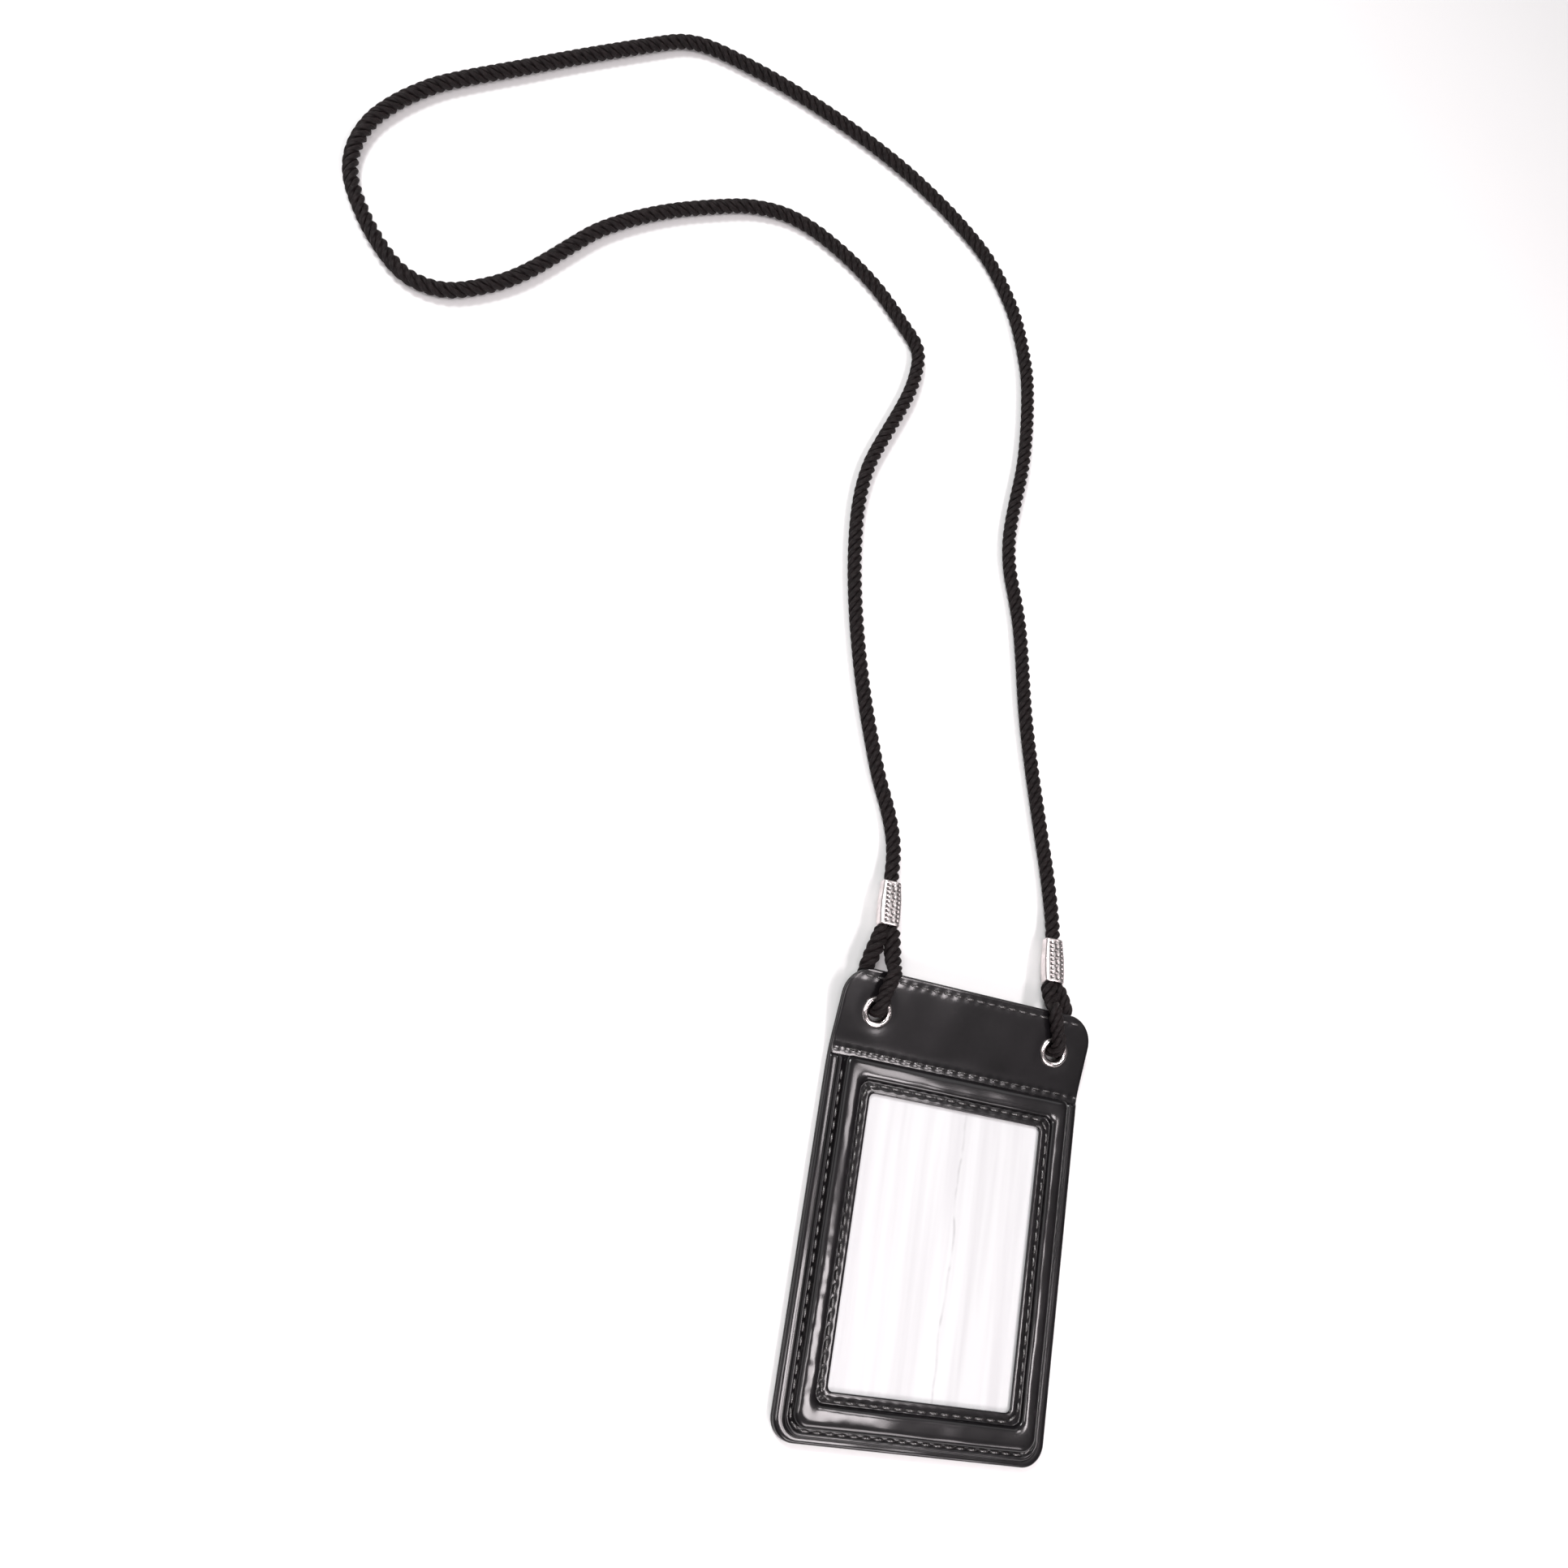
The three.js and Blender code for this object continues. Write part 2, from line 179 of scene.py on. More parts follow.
def ripple(x, y, size, seed):
    """A smooth random surface between about -1 and 1 with waves of the given size."""
    draw = np.random.default_rng(seed)
    total = np.zeros(np.broadcast(x, y).shape)
    for _ in range(7):
        heading = draw.uniform(0, TAU)
        length = size * draw.uniform(0.6, 1.7)
        phase = draw.uniform(0, TAU)
        total += np.sin(TAU * (x * math.cos(heading) + y * math.sin(heading)) / length + phase)
    return total / 3.2


def smooth_step(low, high, value):
    """0 at low and 1 at high, with a soft slope between; low may be the greater."""
    share = np.clip((value - low) / (high - low), 0, 1)
    return share * share * (3 - 2 * share)


# ------------------------------------------------------------------ meshes

def add_mesh(name, points, faces):
    """A smooth-shaded object from points in millimetres, with its faces turned outwards."""
    mesh = bpy.data.meshes.new(name)
    mesh.from_pydata((np.asarray(points, float) * MM).tolist(), [], faces)
    work = bmesh.new()
    work.from_mesh(mesh)
    bmesh.ops.recalc_face_normals(work, faces=work.faces)
    work.to_mesh(mesh)
    work.free()
    mesh.shade_smooth()
    obj = bpy.data.objects.new(name, mesh)
    bpy.context.scene.collection.objects.link(obj)
    return obj


def skin_faces(rows, columns, ring_rows=False, first=0):
    """Quads over a grid whose columns close on themselves; open ends get a cap."""
    index = first + np.arange(rows * columns).reshape(rows, columns)
    last = rows if ring_rows else rows - 1
    faces = []
    for i in range(last):
        here, there = index[i], index[(i + 1) % rows]
        for j in range(columns):
            k = (j + 1) % columns
            faces.append((here[j], here[k], there[k], there[j]))
    if not ring_rows:
        faces.append(tuple(index[0][::-1]))
        faces.append(tuple(index[-1]))
    return [tuple(int(i) for i in face) for face in faces]


def loft(name, loops, ring_rows=False):
    """A skin through an array of closed loops."""
    rows, columns = loops.shape[:2]
    return add_mesh(name, loops.reshape(-1, 3), skin_faces(rows, columns, ring_rows))


def joined_skins(name, skins):
    """One object from several separate skins, each an array of closed loops."""
    points, faces, first = [], [], 0
    for loops in skins:
        rows, columns = loops.shape[:2]
        points.append(loops.reshape(-1, 3))
        faces += skin_faces(rows, columns, False, first)
        first += rows * columns
    return add_mesh(name, np.concatenate(points), faces)


def finish_piece(obj, body, material, slot, *nodes):
    """Gives a piece its material and body, and hides the CAD nodes it stands for."""
    obj.data.materials.clear()
    obj.data.materials.append(material)
    if nodes:
        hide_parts(*nodes)
    if body:
        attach(obj, body)
    return obj


# ------------------------------------------------------------------ materials

class Shader:
    """A material's node tree, with short calls for the nodes used here."""

    def __init__(self, name):
        self.material = bpy.data.materials.new(name)
        self.material.use_nodes = True
        self.tree = self.material.node_tree
        self.surface = self.tree.nodes["Principled BSDF"]
        self.place = self.add("ShaderNodeTexCoord").outputs["Object"]

    def add(self, kind, **values):
        node = self.tree.nodes.new(kind)
        for key, value in values.items():
            setattr(node, key, value)
        return node

    def link(self, source, node, socket):
        self.tree.links.new(source, node.inputs[socket])

    def set(self, **values):
        for key, value in values.items():
            self.surface.inputs[key.replace("_", " ")].default_value = value

    def noise(self, scale, detail=4.0, roughness=0.55, source=None):
        node = self.add("ShaderNodeTexNoise")
        node.inputs["Scale"].default_value = scale
        node.inputs["Detail"].default_value = detail
        node.inputs["Roughness"].default_value = roughness
        self.link(source or self.place, node, "Vector")
        return node.outputs["Fac"]

    def cells(self, scale, feature="F1"):
        node = self.add("ShaderNodeTexVoronoi", feature=feature)
        node.inputs["Scale"].default_value = scale
        self.link(self.place, node, "Vector")
        return node.outputs["Distance"]

    def stretched(self, x, y, z):
        node = self.add("ShaderNodeMapping")
        node.inputs["Scale"].default_value = (x, y, z)
        self.link(self.place, node, "Vector")
        return node.outputs["Vector"]

    def ramp(self, source, *stops):
        node = self.add("ShaderNodeValToRGB")
        elements = node.color_ramp.elements
        while len(elements) < len(stops):
            elements.new(0.5)
        for element, (position, color) in zip(elements, stops):
            element.position = position
            level = color if isinstance(color, tuple) else (color, color, color)
            element.color = (*level, 1)
        self.link(source, node, "Fac")
        return node.outputs["Color"]

    def math(self, operation, a, b):
        node = self.add("ShaderNodeMath", operation=operation)
        for socket, value in enumerate((a, b)):
            if isinstance(value, (int, float)):
                node.inputs[socket].default_value = value
            else:
                self.link(value, node, socket)
        return node.outputs["Value"]

    def mix(self, factor, a, b):
        node = self.add("ShaderNodeMix", data_type="RGBA")
        self.link(factor, node, 0)
        for socket, value in ((6, a), (7, b)):
            if isinstance(value, tuple):
                node.inputs[socket].default_value = (*value, 1)
            else:
                self.link(value, node, socket)
        return node.outputs[2]

    def attribute(self, name):
        return self.add("ShaderNodeAttribute", attribute_name=name).outputs["Fac"]

    def color(self, source):
        self.link(source, self.surface, "Base Color")

    def roughness(self, source):
        self.link(source, self.surface, "Roughness")

    def bump(self, height, depth, strength=1.0, under=None):
        node = self.add("ShaderNodeBump")
        node.inputs["Distance"].default_value = depth
        node.inputs["Strength"].default_value = strength
        self.link(height, node, "Height")
        if under is not None:
            self.link(under, node, "Normal")
        self.link(node.outputs["Normal"], self.surface, "Normal")
        return node.outputs["Normal"]


def leather_material(name, dark, light, rough):
    """Coated black leather: fine pebbled grain, creases, and paler rubbed edges."""
    s = Shader(name)
    patches = s.noise(70, 5)
    tone = s.ramp(patches, (0.35, dark), (0.7, light))
    worn = s.ramp(s.add("ShaderNodeNewGeometry").outputs["Pointiness"], (0.52, 0.0), (0.6, 0.5))
    s.color(s.mix(worn, tone, tuple(2.6 * c for c in light)))
    s.roughness(s.ramp(s.noise(260, 5), (0.3, rough - 0.07), (0.72, rough + 0.1)))
    pebbles = s.bump(s.cells(1700), 0.00004, 0.22)
    creases = s.bump(s.cells(420, "SMOOTH_F1"), 0.00006, 0.12, pebbles)
    s.bump(s.noise(110, 2), 0.0003, 0.1, creases)
    s.set(Specular_IOR_Level=0.12, Coat_Weight=0.65, Coat_Roughness=0.13)
    return s.material


def thread_material():
    """Waxed sewing thread with its own fine twist."""
    s = Shader("waxed_thread")
    s.color(s.ramp(s.noise(900, 3), (0.3, (0.022, 0.020, 0.020)), (0.75, (0.065, 0.061, 0.061))))
    turns = s.math("ADD", s.math("MULTIPLY", s.attribute("along"), 9.0),
                   s.math("MULTIPLY", s.attribute("around"), 2 * TAU))
    s.bump(s.math("SINE", turns, 0.0), 0.00005, 0.3)
    s.set(Roughness=0.24, Specular_IOR_Level=1.0)
    return s.material


def nickel_material(name, rough):
    """Plated metal with hairline scratches, dull spots, and painted shade in the grooves where it was
    pressed.
    """
    s = Shader(name)
    dull = s.noise(420, 6)
    plate = s.ramp(dull, (0.3, (0.60, 0.555, 0.55)), (0.65, (0.82, 0.755, 0.75)))
    # Painted shade: the colour darkens towards this grey-brown where the pressed marks are deep.
    s.color(s.mix(s.attribute("pressed"), plate, (0.16, 0.14, 0.14)))
    s.roughness(s.ramp(dull, (0.3, rough + 0.08), (0.7, rough - 0.08)))
    scratches = s.noise(1.0, 3, 0.6, s.stretched(5200, 500, 2600))
    s.bump(scratches, 0.00002, 0.35)
    s.set(Metallic=1.0)
    return s.material


def yarn_material():
    """Matte twisted yarn, black with a brown cast, with a fine twist in every ply."""
    s = Shader("cord_yarn")
    tone = s.noise(500, 5)
    fibres = s.noise(3800, 3)
    color = s.ramp(tone, (0.3, (0.0032, 0.0020, 0.0022)), (0.72, (0.0105, 0.0066, 0.0068)))
    s.color(s.mix(s.ramp(fibres, (0.55, 0.0), (0.8, 0.4)), color, (0.034, 0.022, 0.022)))
    turns = s.math("ADD", s.math("MULTIPLY", s.attribute("along"), -4.2),
                   s.math("MULTIPLY", s.attribute("around"), 3 * TAU))
    strands = s.bump(s.math("SINE", turns, 0.0), 0.00011, 0.8)
    s.bump(fibres, 0.0001, 0.5, strands)
    s.set(Roughness=0.7, Specular_IOR_Level=0.25, Sheen_Weight=0.05, Sheen_Roughness=0.4)
    s.surface.inputs["Sheen Tint"].default_value = (0.6, 0.45, 0.45, 1)
    return s.material


def card_material():
    """White card with faint fibres, painted light and shade in soft bands along its length, and a
    painted shade line where it was once folded.
    """
    s = Shader("insert_paper")
    # Painted light and shade: soft bands in the white stand for the card's waves.
    waves = s.noise(1.0, 3, 0.5, s.stretched(230, 9, 1))
    white_with_painted_bands = s.ramp(waves, (0.34, (0.597, 0.585, 0.597)), (0.6, (0.68, 0.674, 0.68)))
    x = s.add("ShaderNodeSeparateXYZ")
    s.link(s.place, x, "Vector")
    # Painted shade: a thin darker line where the card was once folded, faded in and out along its
    # length.
    drift = s.math("MULTIPLY", s.noise(1.0, 2, 0.5, s.stretched(1, 45, 1)), 0.004)
    offset = s.math("SUBTRACT", x.outputs["X"], s.math("ADD", drift, 0.0015))
    # A ramp is kept in few steps, so this small distance is enlarged before it.
    distance = s.math("MULTIPLY", s.math("ABSOLUTE", offset, 0.0), 300.0)
    fold_line_shade = s.ramp(distance, (0.0, 1.0), (0.16, 0.0))
    faded = s.ramp(s.noise(1.0, 3, 0.6, s.stretched(1, 130, 1)), (0.4, 0.0), (0.6, 0.75))
    painted_fold_shade = s.math("MULTIPLY", fold_line_shade, faded)
    s.color(s.mix(painted_fold_shade, white_with_painted_bands, (0.40, 0.39, 0.40)))
    s.bump(s.noise(1400, 4), 0.00002, 0.3)
    s.set(Roughness=0.6)
    return s.material


def film_material():
    """Clear flexible plastic: nearly invisible, and a little glossy at a grazing angle."""
    s = Shader("clear_film")
    glass = s.add("ShaderNodeBsdfGlossy")
    glass.inputs["Roughness"].default_value = 0.3
    clear = s.add("ShaderNodeBsdfTransparent")
    clear.inputs["Color"].default_value = (0.975, 0.98, 0.98, 1)
    grazing = s.math("POWER", s.add("ShaderNodeLayerWeight").outputs["Facing"], 5.0)
    blend = s.add("ShaderNodeMixShader")
    s.link(s.math("ADD", s.math("MULTIPLY", grazing, 0.4), 0.012), blend, "Fac")
    s.link(clear.outputs["BSDF"], blend, 1)
    s.link(glass.outputs["BSDF"], blend, 2)
    bump = s.add("ShaderNodeBump")
    bump.inputs["Distance"].default_value = 0.0002
    bump.inputs["Strength"].default_value = 0.25
    s.link(s.noise(1.0, 2, 0.4, s.stretched(120, 25, 1)), bump, "Height")
    s.link(bump.outputs["Normal"], glass, "Normal")
    output = next(n for n in s.tree.nodes if n.type == "OUTPUT_MATERIAL")
    s.link(blend.outputs["Shader"], output, "Surface")
    return s.material


def plain_material(name, dark, light, rough, grain, depth):
    """A matte material with a grain: the board, lining and foam inside the pouch."""
    s = Shader(name)
    texture = s.noise(grain, 6)
    s.color(s.ramp(texture, (0.3, dark), (0.7, light)))
    s.bump(texture, depth, 0.6)
    s.set(Roughness=rough)
    return s.material


def weave_material():
    """Dark plain-woven lining cloth, with painted shade in the hollows of its weave."""
    s = Shader("lining_weave")
    x = s.add("ShaderNodeSeparateXYZ")
    s.link(s.place, x, "Vector")
    radians_per_metre = 9000.0
    warp = s.math("SINE", s.math("MULTIPLY", x.outputs["X"], radians_per_metre), 0.0)
    weft = s.math("SINE", s.math("MULTIPLY", x.outputs["Y"], radians_per_metre), 0.0)
    height = s.math("MULTIPLY", warp, weft)
    # Painted light and shade: the colour follows the weave's height, darker in its hollows and lighter
    # where it is raised.
    s.color(s.ramp(height, (0.0, (0.012, 0.012, 0.013)), (1.0, (0.045, 0.045, 0.048))))
    s.bump(height, 0.00008, 0.7)
    s.set(Roughness=0.9)
    return s.material


FRONT_LEATHER = leather_material(
    "front_leather", (0.0036, 0.0031, 0.0037), (0.0080, 0.0068, 0.0080), 0.38)
BACK_LEATHER = leather_material(
    "back_leather", (0.006, 0.0058, 0.006), (0.011, 0.0105, 0.011), 0.42)
THREAD = thread_material()
CRIMP_NICKEL = nickel_material("crimp_nickel", 0.34)
EYELET_NICKEL = nickel_material("eyelet_nickel", 0.2)
YARN = yarn_material()
CARD = card_material()
FILM = film_material()
BOARD = plain_material(
    "pressed_board", (0.20, 0.155, 0.10), (0.32, 0.26, 0.18), 0.9, 900, 0.00005)
FOAM = plain_material(
    "padding_foam", (0.03, 0.03, 0.028), (0.06, 0.06, 0.055), 0.95, 2500, 0.0001)
WEAVE = weave_material()


# ------------------------------------------------------------------ pouch sheets

SHEET_STEP = 0.62
SHEET_COLUMNS = 118
EDGE_ROUND = 0.45           # how far a rounded edge reaches out, as a share of the thickness
END_SWELL = 0.5             # how near an end the sheet starts to thin


def half_width(along, start, end):
    """Half the sheet's width at a place along it, narrowed by the round corners."""
    half = outer_edge.half
    for distance, radius in ((along - start, FOOT_CORNER), (end - along, HEADER_CORNER)):
        depth = radius - min(max(distance, 0), radius)
        half = min(half, outer_edge.half - radius + math.sqrt(radius ** 2 - depth ** 2))
    return half


def sheet(name, bottom, top, relief):
    """One leather sheet of the full outline, bent at the header, with soft edges.

    relief(x, along) gives how far the upper face stands above its plain level.
    """
    start = outer_edge.bottom - BEND_Y
    end = HEADER_LENGTH
    bow = 1 - np.cos(np.linspace(0.12, math.pi / 2, 14))
    foot = start + FOOT_CORNER * bow
    head = (end - HEADER_CORNER * bow)[::-1]
    middle = np.arange(foot[-1] + 0.6, head[0] - 0.3, SHEET_STEP)
    stations = np.concatenate([foot, middle, head])
    columns = np.linspace(-1, 1, SHEET_COLUMNS)
    edge = np.linspace(0, math.pi, 9)[1:-1]
    thickness = top - bottom
    loops = []
    for along in stations:
        half = half_width(along, start, end)
        from_end = min(along - start, end - along)
        swell = math.sqrt(max(0.12, 1 - max(0, 1 - from_end / END_SWELL) ** 2))
        low = bottom + thickness * (1 - swell) * 0.5
        high = top - thickness * (1 - swell) * 0.5
        flat = half - EDGE_ROUND * (high - low)
        x_flat = columns * flat
        x_right = flat + EDGE_ROUND * (high - low) * np.sin(edge)
        h_side = (high + low) / 2 - (high - low) / 2 * np.cos(edge)
        x = np.concatenate([x_flat, x_right, x_flat[::-1], -x_right[::-1]])
        h = np.concatenate([
            np.full(len(columns), low), h_side, np.full(len(columns), high), h_side[::-1]])
        upper = np.zeros(len(x))
        upper[len(columns) + len(edge):2 * len(columns) + len(edge)] = 1
        h = h + upper * swell * relief(x, np.full(len(x), along))
        y, z = sheet_point(along, h)
        loops.append(np.stack([x, y, z], 1))
    return loft(name, np.array(loops))


def seam_dip(across, position, pitch=STITCH_PITCH, width=0.75, depth=0.08):
    """How a row of stitches pulls leather down: deepest where the needle went in."""
    pull = 0.62 + 0.38 * np.cos(TAU * position / pitch)
    return -depth * pull * np.exp(-(across / width) ** 2)


def front_relief(x, along):
    """Stitch grooves, soft waves in the header, a pressed dish round each eyelet, a thinner rim."""
    rows = seam_dip(along - TOP_STITCH_ALONG, x)
    rows += seam_dip(along - SEAM_ALONG, x, width=0.6, depth=0.22)
    header = smooth_step(3, 7, along)
    rim = smooth_step(HEADER_LENGTH - 2.0, HEADER_LENGTH - 0.9, along)
    waves = 0.05 * ripple(x, along, 18, 3)
    dish = 0.0
    for side in (-1, 1):
        distance = np.hypot(x - side * EYELET_X, along - EYELET_ALONG)
        dish = dish - 0.09 * np.exp(-((distance - 4.0) / 1.6) ** 2)
    return rows + header * (waves + dish) - 0.05 * rim


def flat_relief(x, _):
    """The plain back."""
    return 0.0 * x


def drilled(obj):
    """Cuts the two eyelet holes through a sheet."""
    cutters = []
    for side in (-1, 1):
        y, z = sheet_point(EYELET_ALONG, 1.0)
        bpy.ops.mesh.primitive_cylinder_add(
            vertices=48, radius=EYELET_HOLE * MM, depth=12 * MM,
            location=(side * EYELET_X * MM, float(y) * MM, float(z) * MM),
            rotation=(HEADER_TILT, 0, 0))
        cutter = bpy.context.object
        hole = obj.modifiers.new("hole", "BOOLEAN")
        hole.operation = "DIFFERENCE"
        hole.solver = "EXACT"
        hole.object = cutter
        cutters.append(cutter)
    evaluated = obj.evaluated_get(bpy.context.evaluated_depsgraph_get())
    obj.data = bpy.data.meshes.new_from_object(evaluated)
    obj.modifiers.clear()
    for cutter in cutters:
        bpy.data.objects.remove(cutter)
    obj.data.shade_smooth()
    return obj


def build_sheets():
    back = drilled(sheet("back_leather", 0.0, BACK_TOP, flat_relief))
    finish_piece(back, "pouch", BACK_LEATHER, "back_leather", "back_panel")
    front = drilled(sheet("front_leather", FRONT_BASE, FRONT_TOP, front_relief))
    finish_piece(front, "pouch", FRONT_LEATHER, "front_leather", "front_panel")


# ------------------------------------------------------------------ window frame

def between(a, b, share):
    """The area a share of the way from a to b."""
    return Area(*[p + (q - p) * share for p, q in zip(a, b)])


def line(start, end, count):
    """Evenly spaced points from the start up to, but without, the end."""
    share = np.linspace(0, 1, count, endpoint=False)[:, None]
    return np.array(start) + (np.array(end) - np.array(start)) * share


def turn(centre, radius, start, count):
    """A quarter circle counter-clockwise from the start angle, without its last point."""
    angle = start + np.linspace(0, math.pi / 2, count, endpoint=False)
    return np.array(centre) + radius * np.stack([np.cos(angle), np.sin(angle)], 1)


def closed_loop(area, across=92, up=132, bend=10):
    """Points round the whole area, counter-clockwise from the left of its foot."""
    half, bottom, top, low, high = area
    return np.concatenate([
        line((low - half, bottom), (half - low, bottom), across),
        turn((half - low, bottom + low), low, -math.pi / 2, bend),
        line((half, bottom + low), (half, top - high), up),
        turn((half - high, top - high), high, 0, bend),
        line((half - high, top), (high - half, top), across),
        turn((high - half, top - high), high, math.pi / 2, bend),
        line((-half, top - high), (-half, bottom + low), up),
        turn((low - half, bottom + low), low, math.pi, bend),
    ])


def open_loop(area, across=100, up=140, bend=14):
    """Points down the left side, round the foot and up the right side."""
    half, bottom, top, low, _ = area
    return np.concatenate([
        line((-half, top), (-half, bottom + low), up),
        turn((low - half, bottom + low), low, math.pi, bend),
        line((low - half, bottom), (half - low, bottom), across),
        turn((half - low, bottom + low), low, -math.pi / 2, bend),
        line((half, bottom + low), (half, top), up),
        [(half, top)],
    ])


def run_length(path):
    """Distance from the path's start to each of its points."""
    steps = np.linalg.norm(np.diff(path, axis=0), axis=1)
    return np.concatenate([[0], np.cumsum(steps)])


def card_room(x, y):
    """1 over the card's channel, 0 beside it."""
    reach = film_high[0] + 0.3
    foot = film_low[1] - 0.5
    return smooth_step(reach + 0.9, reach, np.abs(x)) * smooth_step(foot - 0.7, foot, y)


ROLL_SQUARENESS = 0.62      # 1 is an ellipse, and lower is broader shouldered
INNER_SHOULDER = 4.6
OUTER_SHOULDER = 4.1
CROWN_START = 4.8
SEAM_SHARE = 0.66           # where the stitch row runs, from the window's edge to the roll
BORDER_STITCH_SHARE = 0.3   # where the edge row runs, from the roll to the bead


def padded_section(share):
    """A point of the padded roll's broad, round-shouldered section, from the lip outwards."""
    angle = math.pi * (1 - share)
    across = 0.5 + 0.5 * math.copysign(abs(math.cos(angle)) ** ROLL_SQUARENESS, math.cos(angle))
    shoulder = INNER_SHOULDER if share < 0.5 else OUTER_SHOULDER
    return across, shoulder + (FRAME_TOP - shoulder) * math.sin(angle) ** ROLL_SQUARENESS


def roll_ripples(x, y):
    """Low waves in the padded roll, with finer ones where its lower left corner is worn."""
    waves = 0.12 * ripple(x, y, 26, 11) + 0.02 * ripple(x, y, 9, 12) - 0.14
    worn_corner = np.exp(-((x + 33) / 14) ** 2 - ((y + 36) / 26) ** 2)
    return waves + 0.035 * worn_corner * ripple(x, y, 5, 13)


def build_bulge():
    """The padded ring and the thin lip that holds the window, as one closed skin."""
    lip_steps = [
        (0.12, STRIP_UNDERSIDE), (0.0, 4.45), (0.0, 4.72), (0.04, 4.9), (0.12, 4.98),
        (0.28, 5.0), (0.42, 4.99), (0.54, 4.97), (0.66, 4.95), (0.78, 4.92), (0.88, 4.86), (0.96, 4.78),
    ]
    bulge_steps = [padded_section(share) for share in np.linspace(0.04, 0.98, 30)]
    bulge_steps += [
        (1.0, 3.3), (0.98, 2.5), (0.9, FRAME_BASE), (0.5, FRAME_BASE),
        (0.08, FRAME_BASE), (0.0, 2.5), (0.0, 4.1),
    ]
    stations = [(window_edge, bulge_inner, share, z, False) for share, z in lip_steps]
    stations += [(bulge_inner, bulge_outer, share, z, True) for share, z in bulge_steps]
    guide = closed_loop(stitch_line)
    position = run_length(np.concatenate([guide, guide[:1]]))
    around = position[-1]
    pitch = around / round(around / STITCH_PITCH)
    loops = []
    for inner, outer, share, level, padded in stations:
        path = closed_loop(between(inner, outer, share))
        x, y = path.T
        z = np.full(len(x), float(level))
        if padded and level > CROWN_START + 0.1:
            z += (level - CROWN_START) / (FRAME_TOP - CROWN_START) * roll_ripples(x, y)
        if not padded and level > CROWN_START:
            across = (share - SEAM_SHARE) * 3.1
            z += seam_dip(across, position[:-1], pitch, width=0.8, depth=0.12)
            z += 0.015 * ripple(x, y, 12, 14)
        floor = FRAME_BASE + (STRIP_UNDERSIDE + 0.03 - FRAME_BASE) * card_room(x, y)
        loops.append(np.stack([x, y, np.maximum(z, floor if padded else STRIP_UNDERSIDE)], 1))
    obj = loft("padded_frame", np.array(loops), ring_rows=True)
    finish_piece(obj, "pouch", FRONT_LEATHER, "front_leather", "window_frame")


def build_border():
    """The low bead and flat flange outside the bulge: both sides and the foot."""
    bead_steps = [
        (-0.5, FRAME_BASE + 0.02), (-0.5, 3.6), (-0.08, 3.62), (0.14, 3.68), (0.3, 3.76), (0.44, 3.95),
        (0.58, 4.12), (0.72, 4.19), (0.84, 4.08), (0.94, 3.78), (1.0, 3.3),
    ]
    flange_steps = [
        (0.04, 2.96), (0.14, 2.9), (0.28, 2.92), (0.46, 2.94), (0.64, 2.92), (0.8, 2.85), (0.91, 2.7),
        (0.98, 2.48), (1.0, 2.32), (0.97, FRAME_BASE), (0.5, FRAME_BASE), (0.05, FRAME_BASE),
    ]
    stations = [(bulge_outer, bead_edge, share, z) for share, z in bead_steps]
    stations += [(bead_edge, outer_edge, share, z) for share, z in flange_steps]
    position = run_length(open_loop(between(bulge_outer, bead_edge, BORDER_STITCH_SHARE)))
    loops = []
    for inner, outer, share, level in stations:
        path = open_loop(between(inner, outer, share))
        x, y = path.T
        z = np.full(len(x), float(level))
        if level > 2.75:
            z += 0.05 * ripple(x, y, 24, 21)
        if inner is bulge_outer and level > 3.6:
            across = (share - BORDER_STITCH_SHARE) * 1.9
            z += seam_dip(across, position, width=0.5)
        near_end = np.clip((outer_edge.top - y) / 0.9, 0, 1)
        z = FRAME_BASE + (z - FRAME_BASE) * (0.35 + 0.65 * np.sqrt(1 - (1 - near_end) ** 2))
        loops.append(np.stack([x, y, z], 1))
    sections = np.array(loops).transpose(1, 0, 2)
    obj = loft("frame_border", sections)
    finish_piece(obj, "pouch", FRONT_LEATHER, "front_leather", "window_frame")


def build_film():
    """The clear window, very slightly rippled along its length."""
    x = np.linspace(film_low[0], film_high[0], 90)
    y = np.linspace(film_low[1], film_high[1], 60)
    grid_x, grid_y = np.meshgrid(x, y)
    wave = 0.035 * np.sin(grid_x / 2.9 + 0.8 * np.sin(grid_y / 21))
    wave += 0.02 * ripple(grid_x, grid_y / 5, 9, 31)
    middle = (film_low[2] + film_high[2]) / 2 + wave
    half_thickness = 0.06
    loops = []
    for row in range(len(y)):
        upper = np.stack([grid_x[row], grid_y[row], middle[row] + half_thickness], 1)
        lower = np.stack([grid_x[row], grid_y[row], middle[row] - half_thickness], 1)[::-1]
        loops.append(np.concatenate([upper, lower]))
    obj = loft("clear_window", np.array(loops))
    finish_piece(obj, "pouch", FILM, "clear_film", "window_film")


# ------------------------------------------------------------------ stitching

STITCH_RADIUS = 0.39
STITCH_SIDES = 8
STITCH_RINGS = 9
STITCH_HALF = 0.41          # half a stitch's length, as a share of the pitch


def stitch(start, end, up):
    """One stitch of thread, arched over the leather, as closed loops."""
    sides = np.linspace(0, TAU, STITCH_SIDES, endpoint=False)
    axis = end - start
    length = np.linalg.norm(axis)
    axis = axis / length
    across = np.cross(axis, up)
    loops = []
    for share in np.linspace(0, 1, STITCH_RINGS):
        bow = math.sin(math.pi * share)
        centre = start + axis * length * share + up * (0.26 * bow ** 0.7 - 0.12)
        thick = STITCH_RADIUS * (0.45 + 0.55 * bow ** 0.4)
        ring = np.outer(np.cos(sides), across) + 0.8 * np.outer(np.sin(sides), up)
        loops.append(centre + thick * ring)
    return np.array(loops)


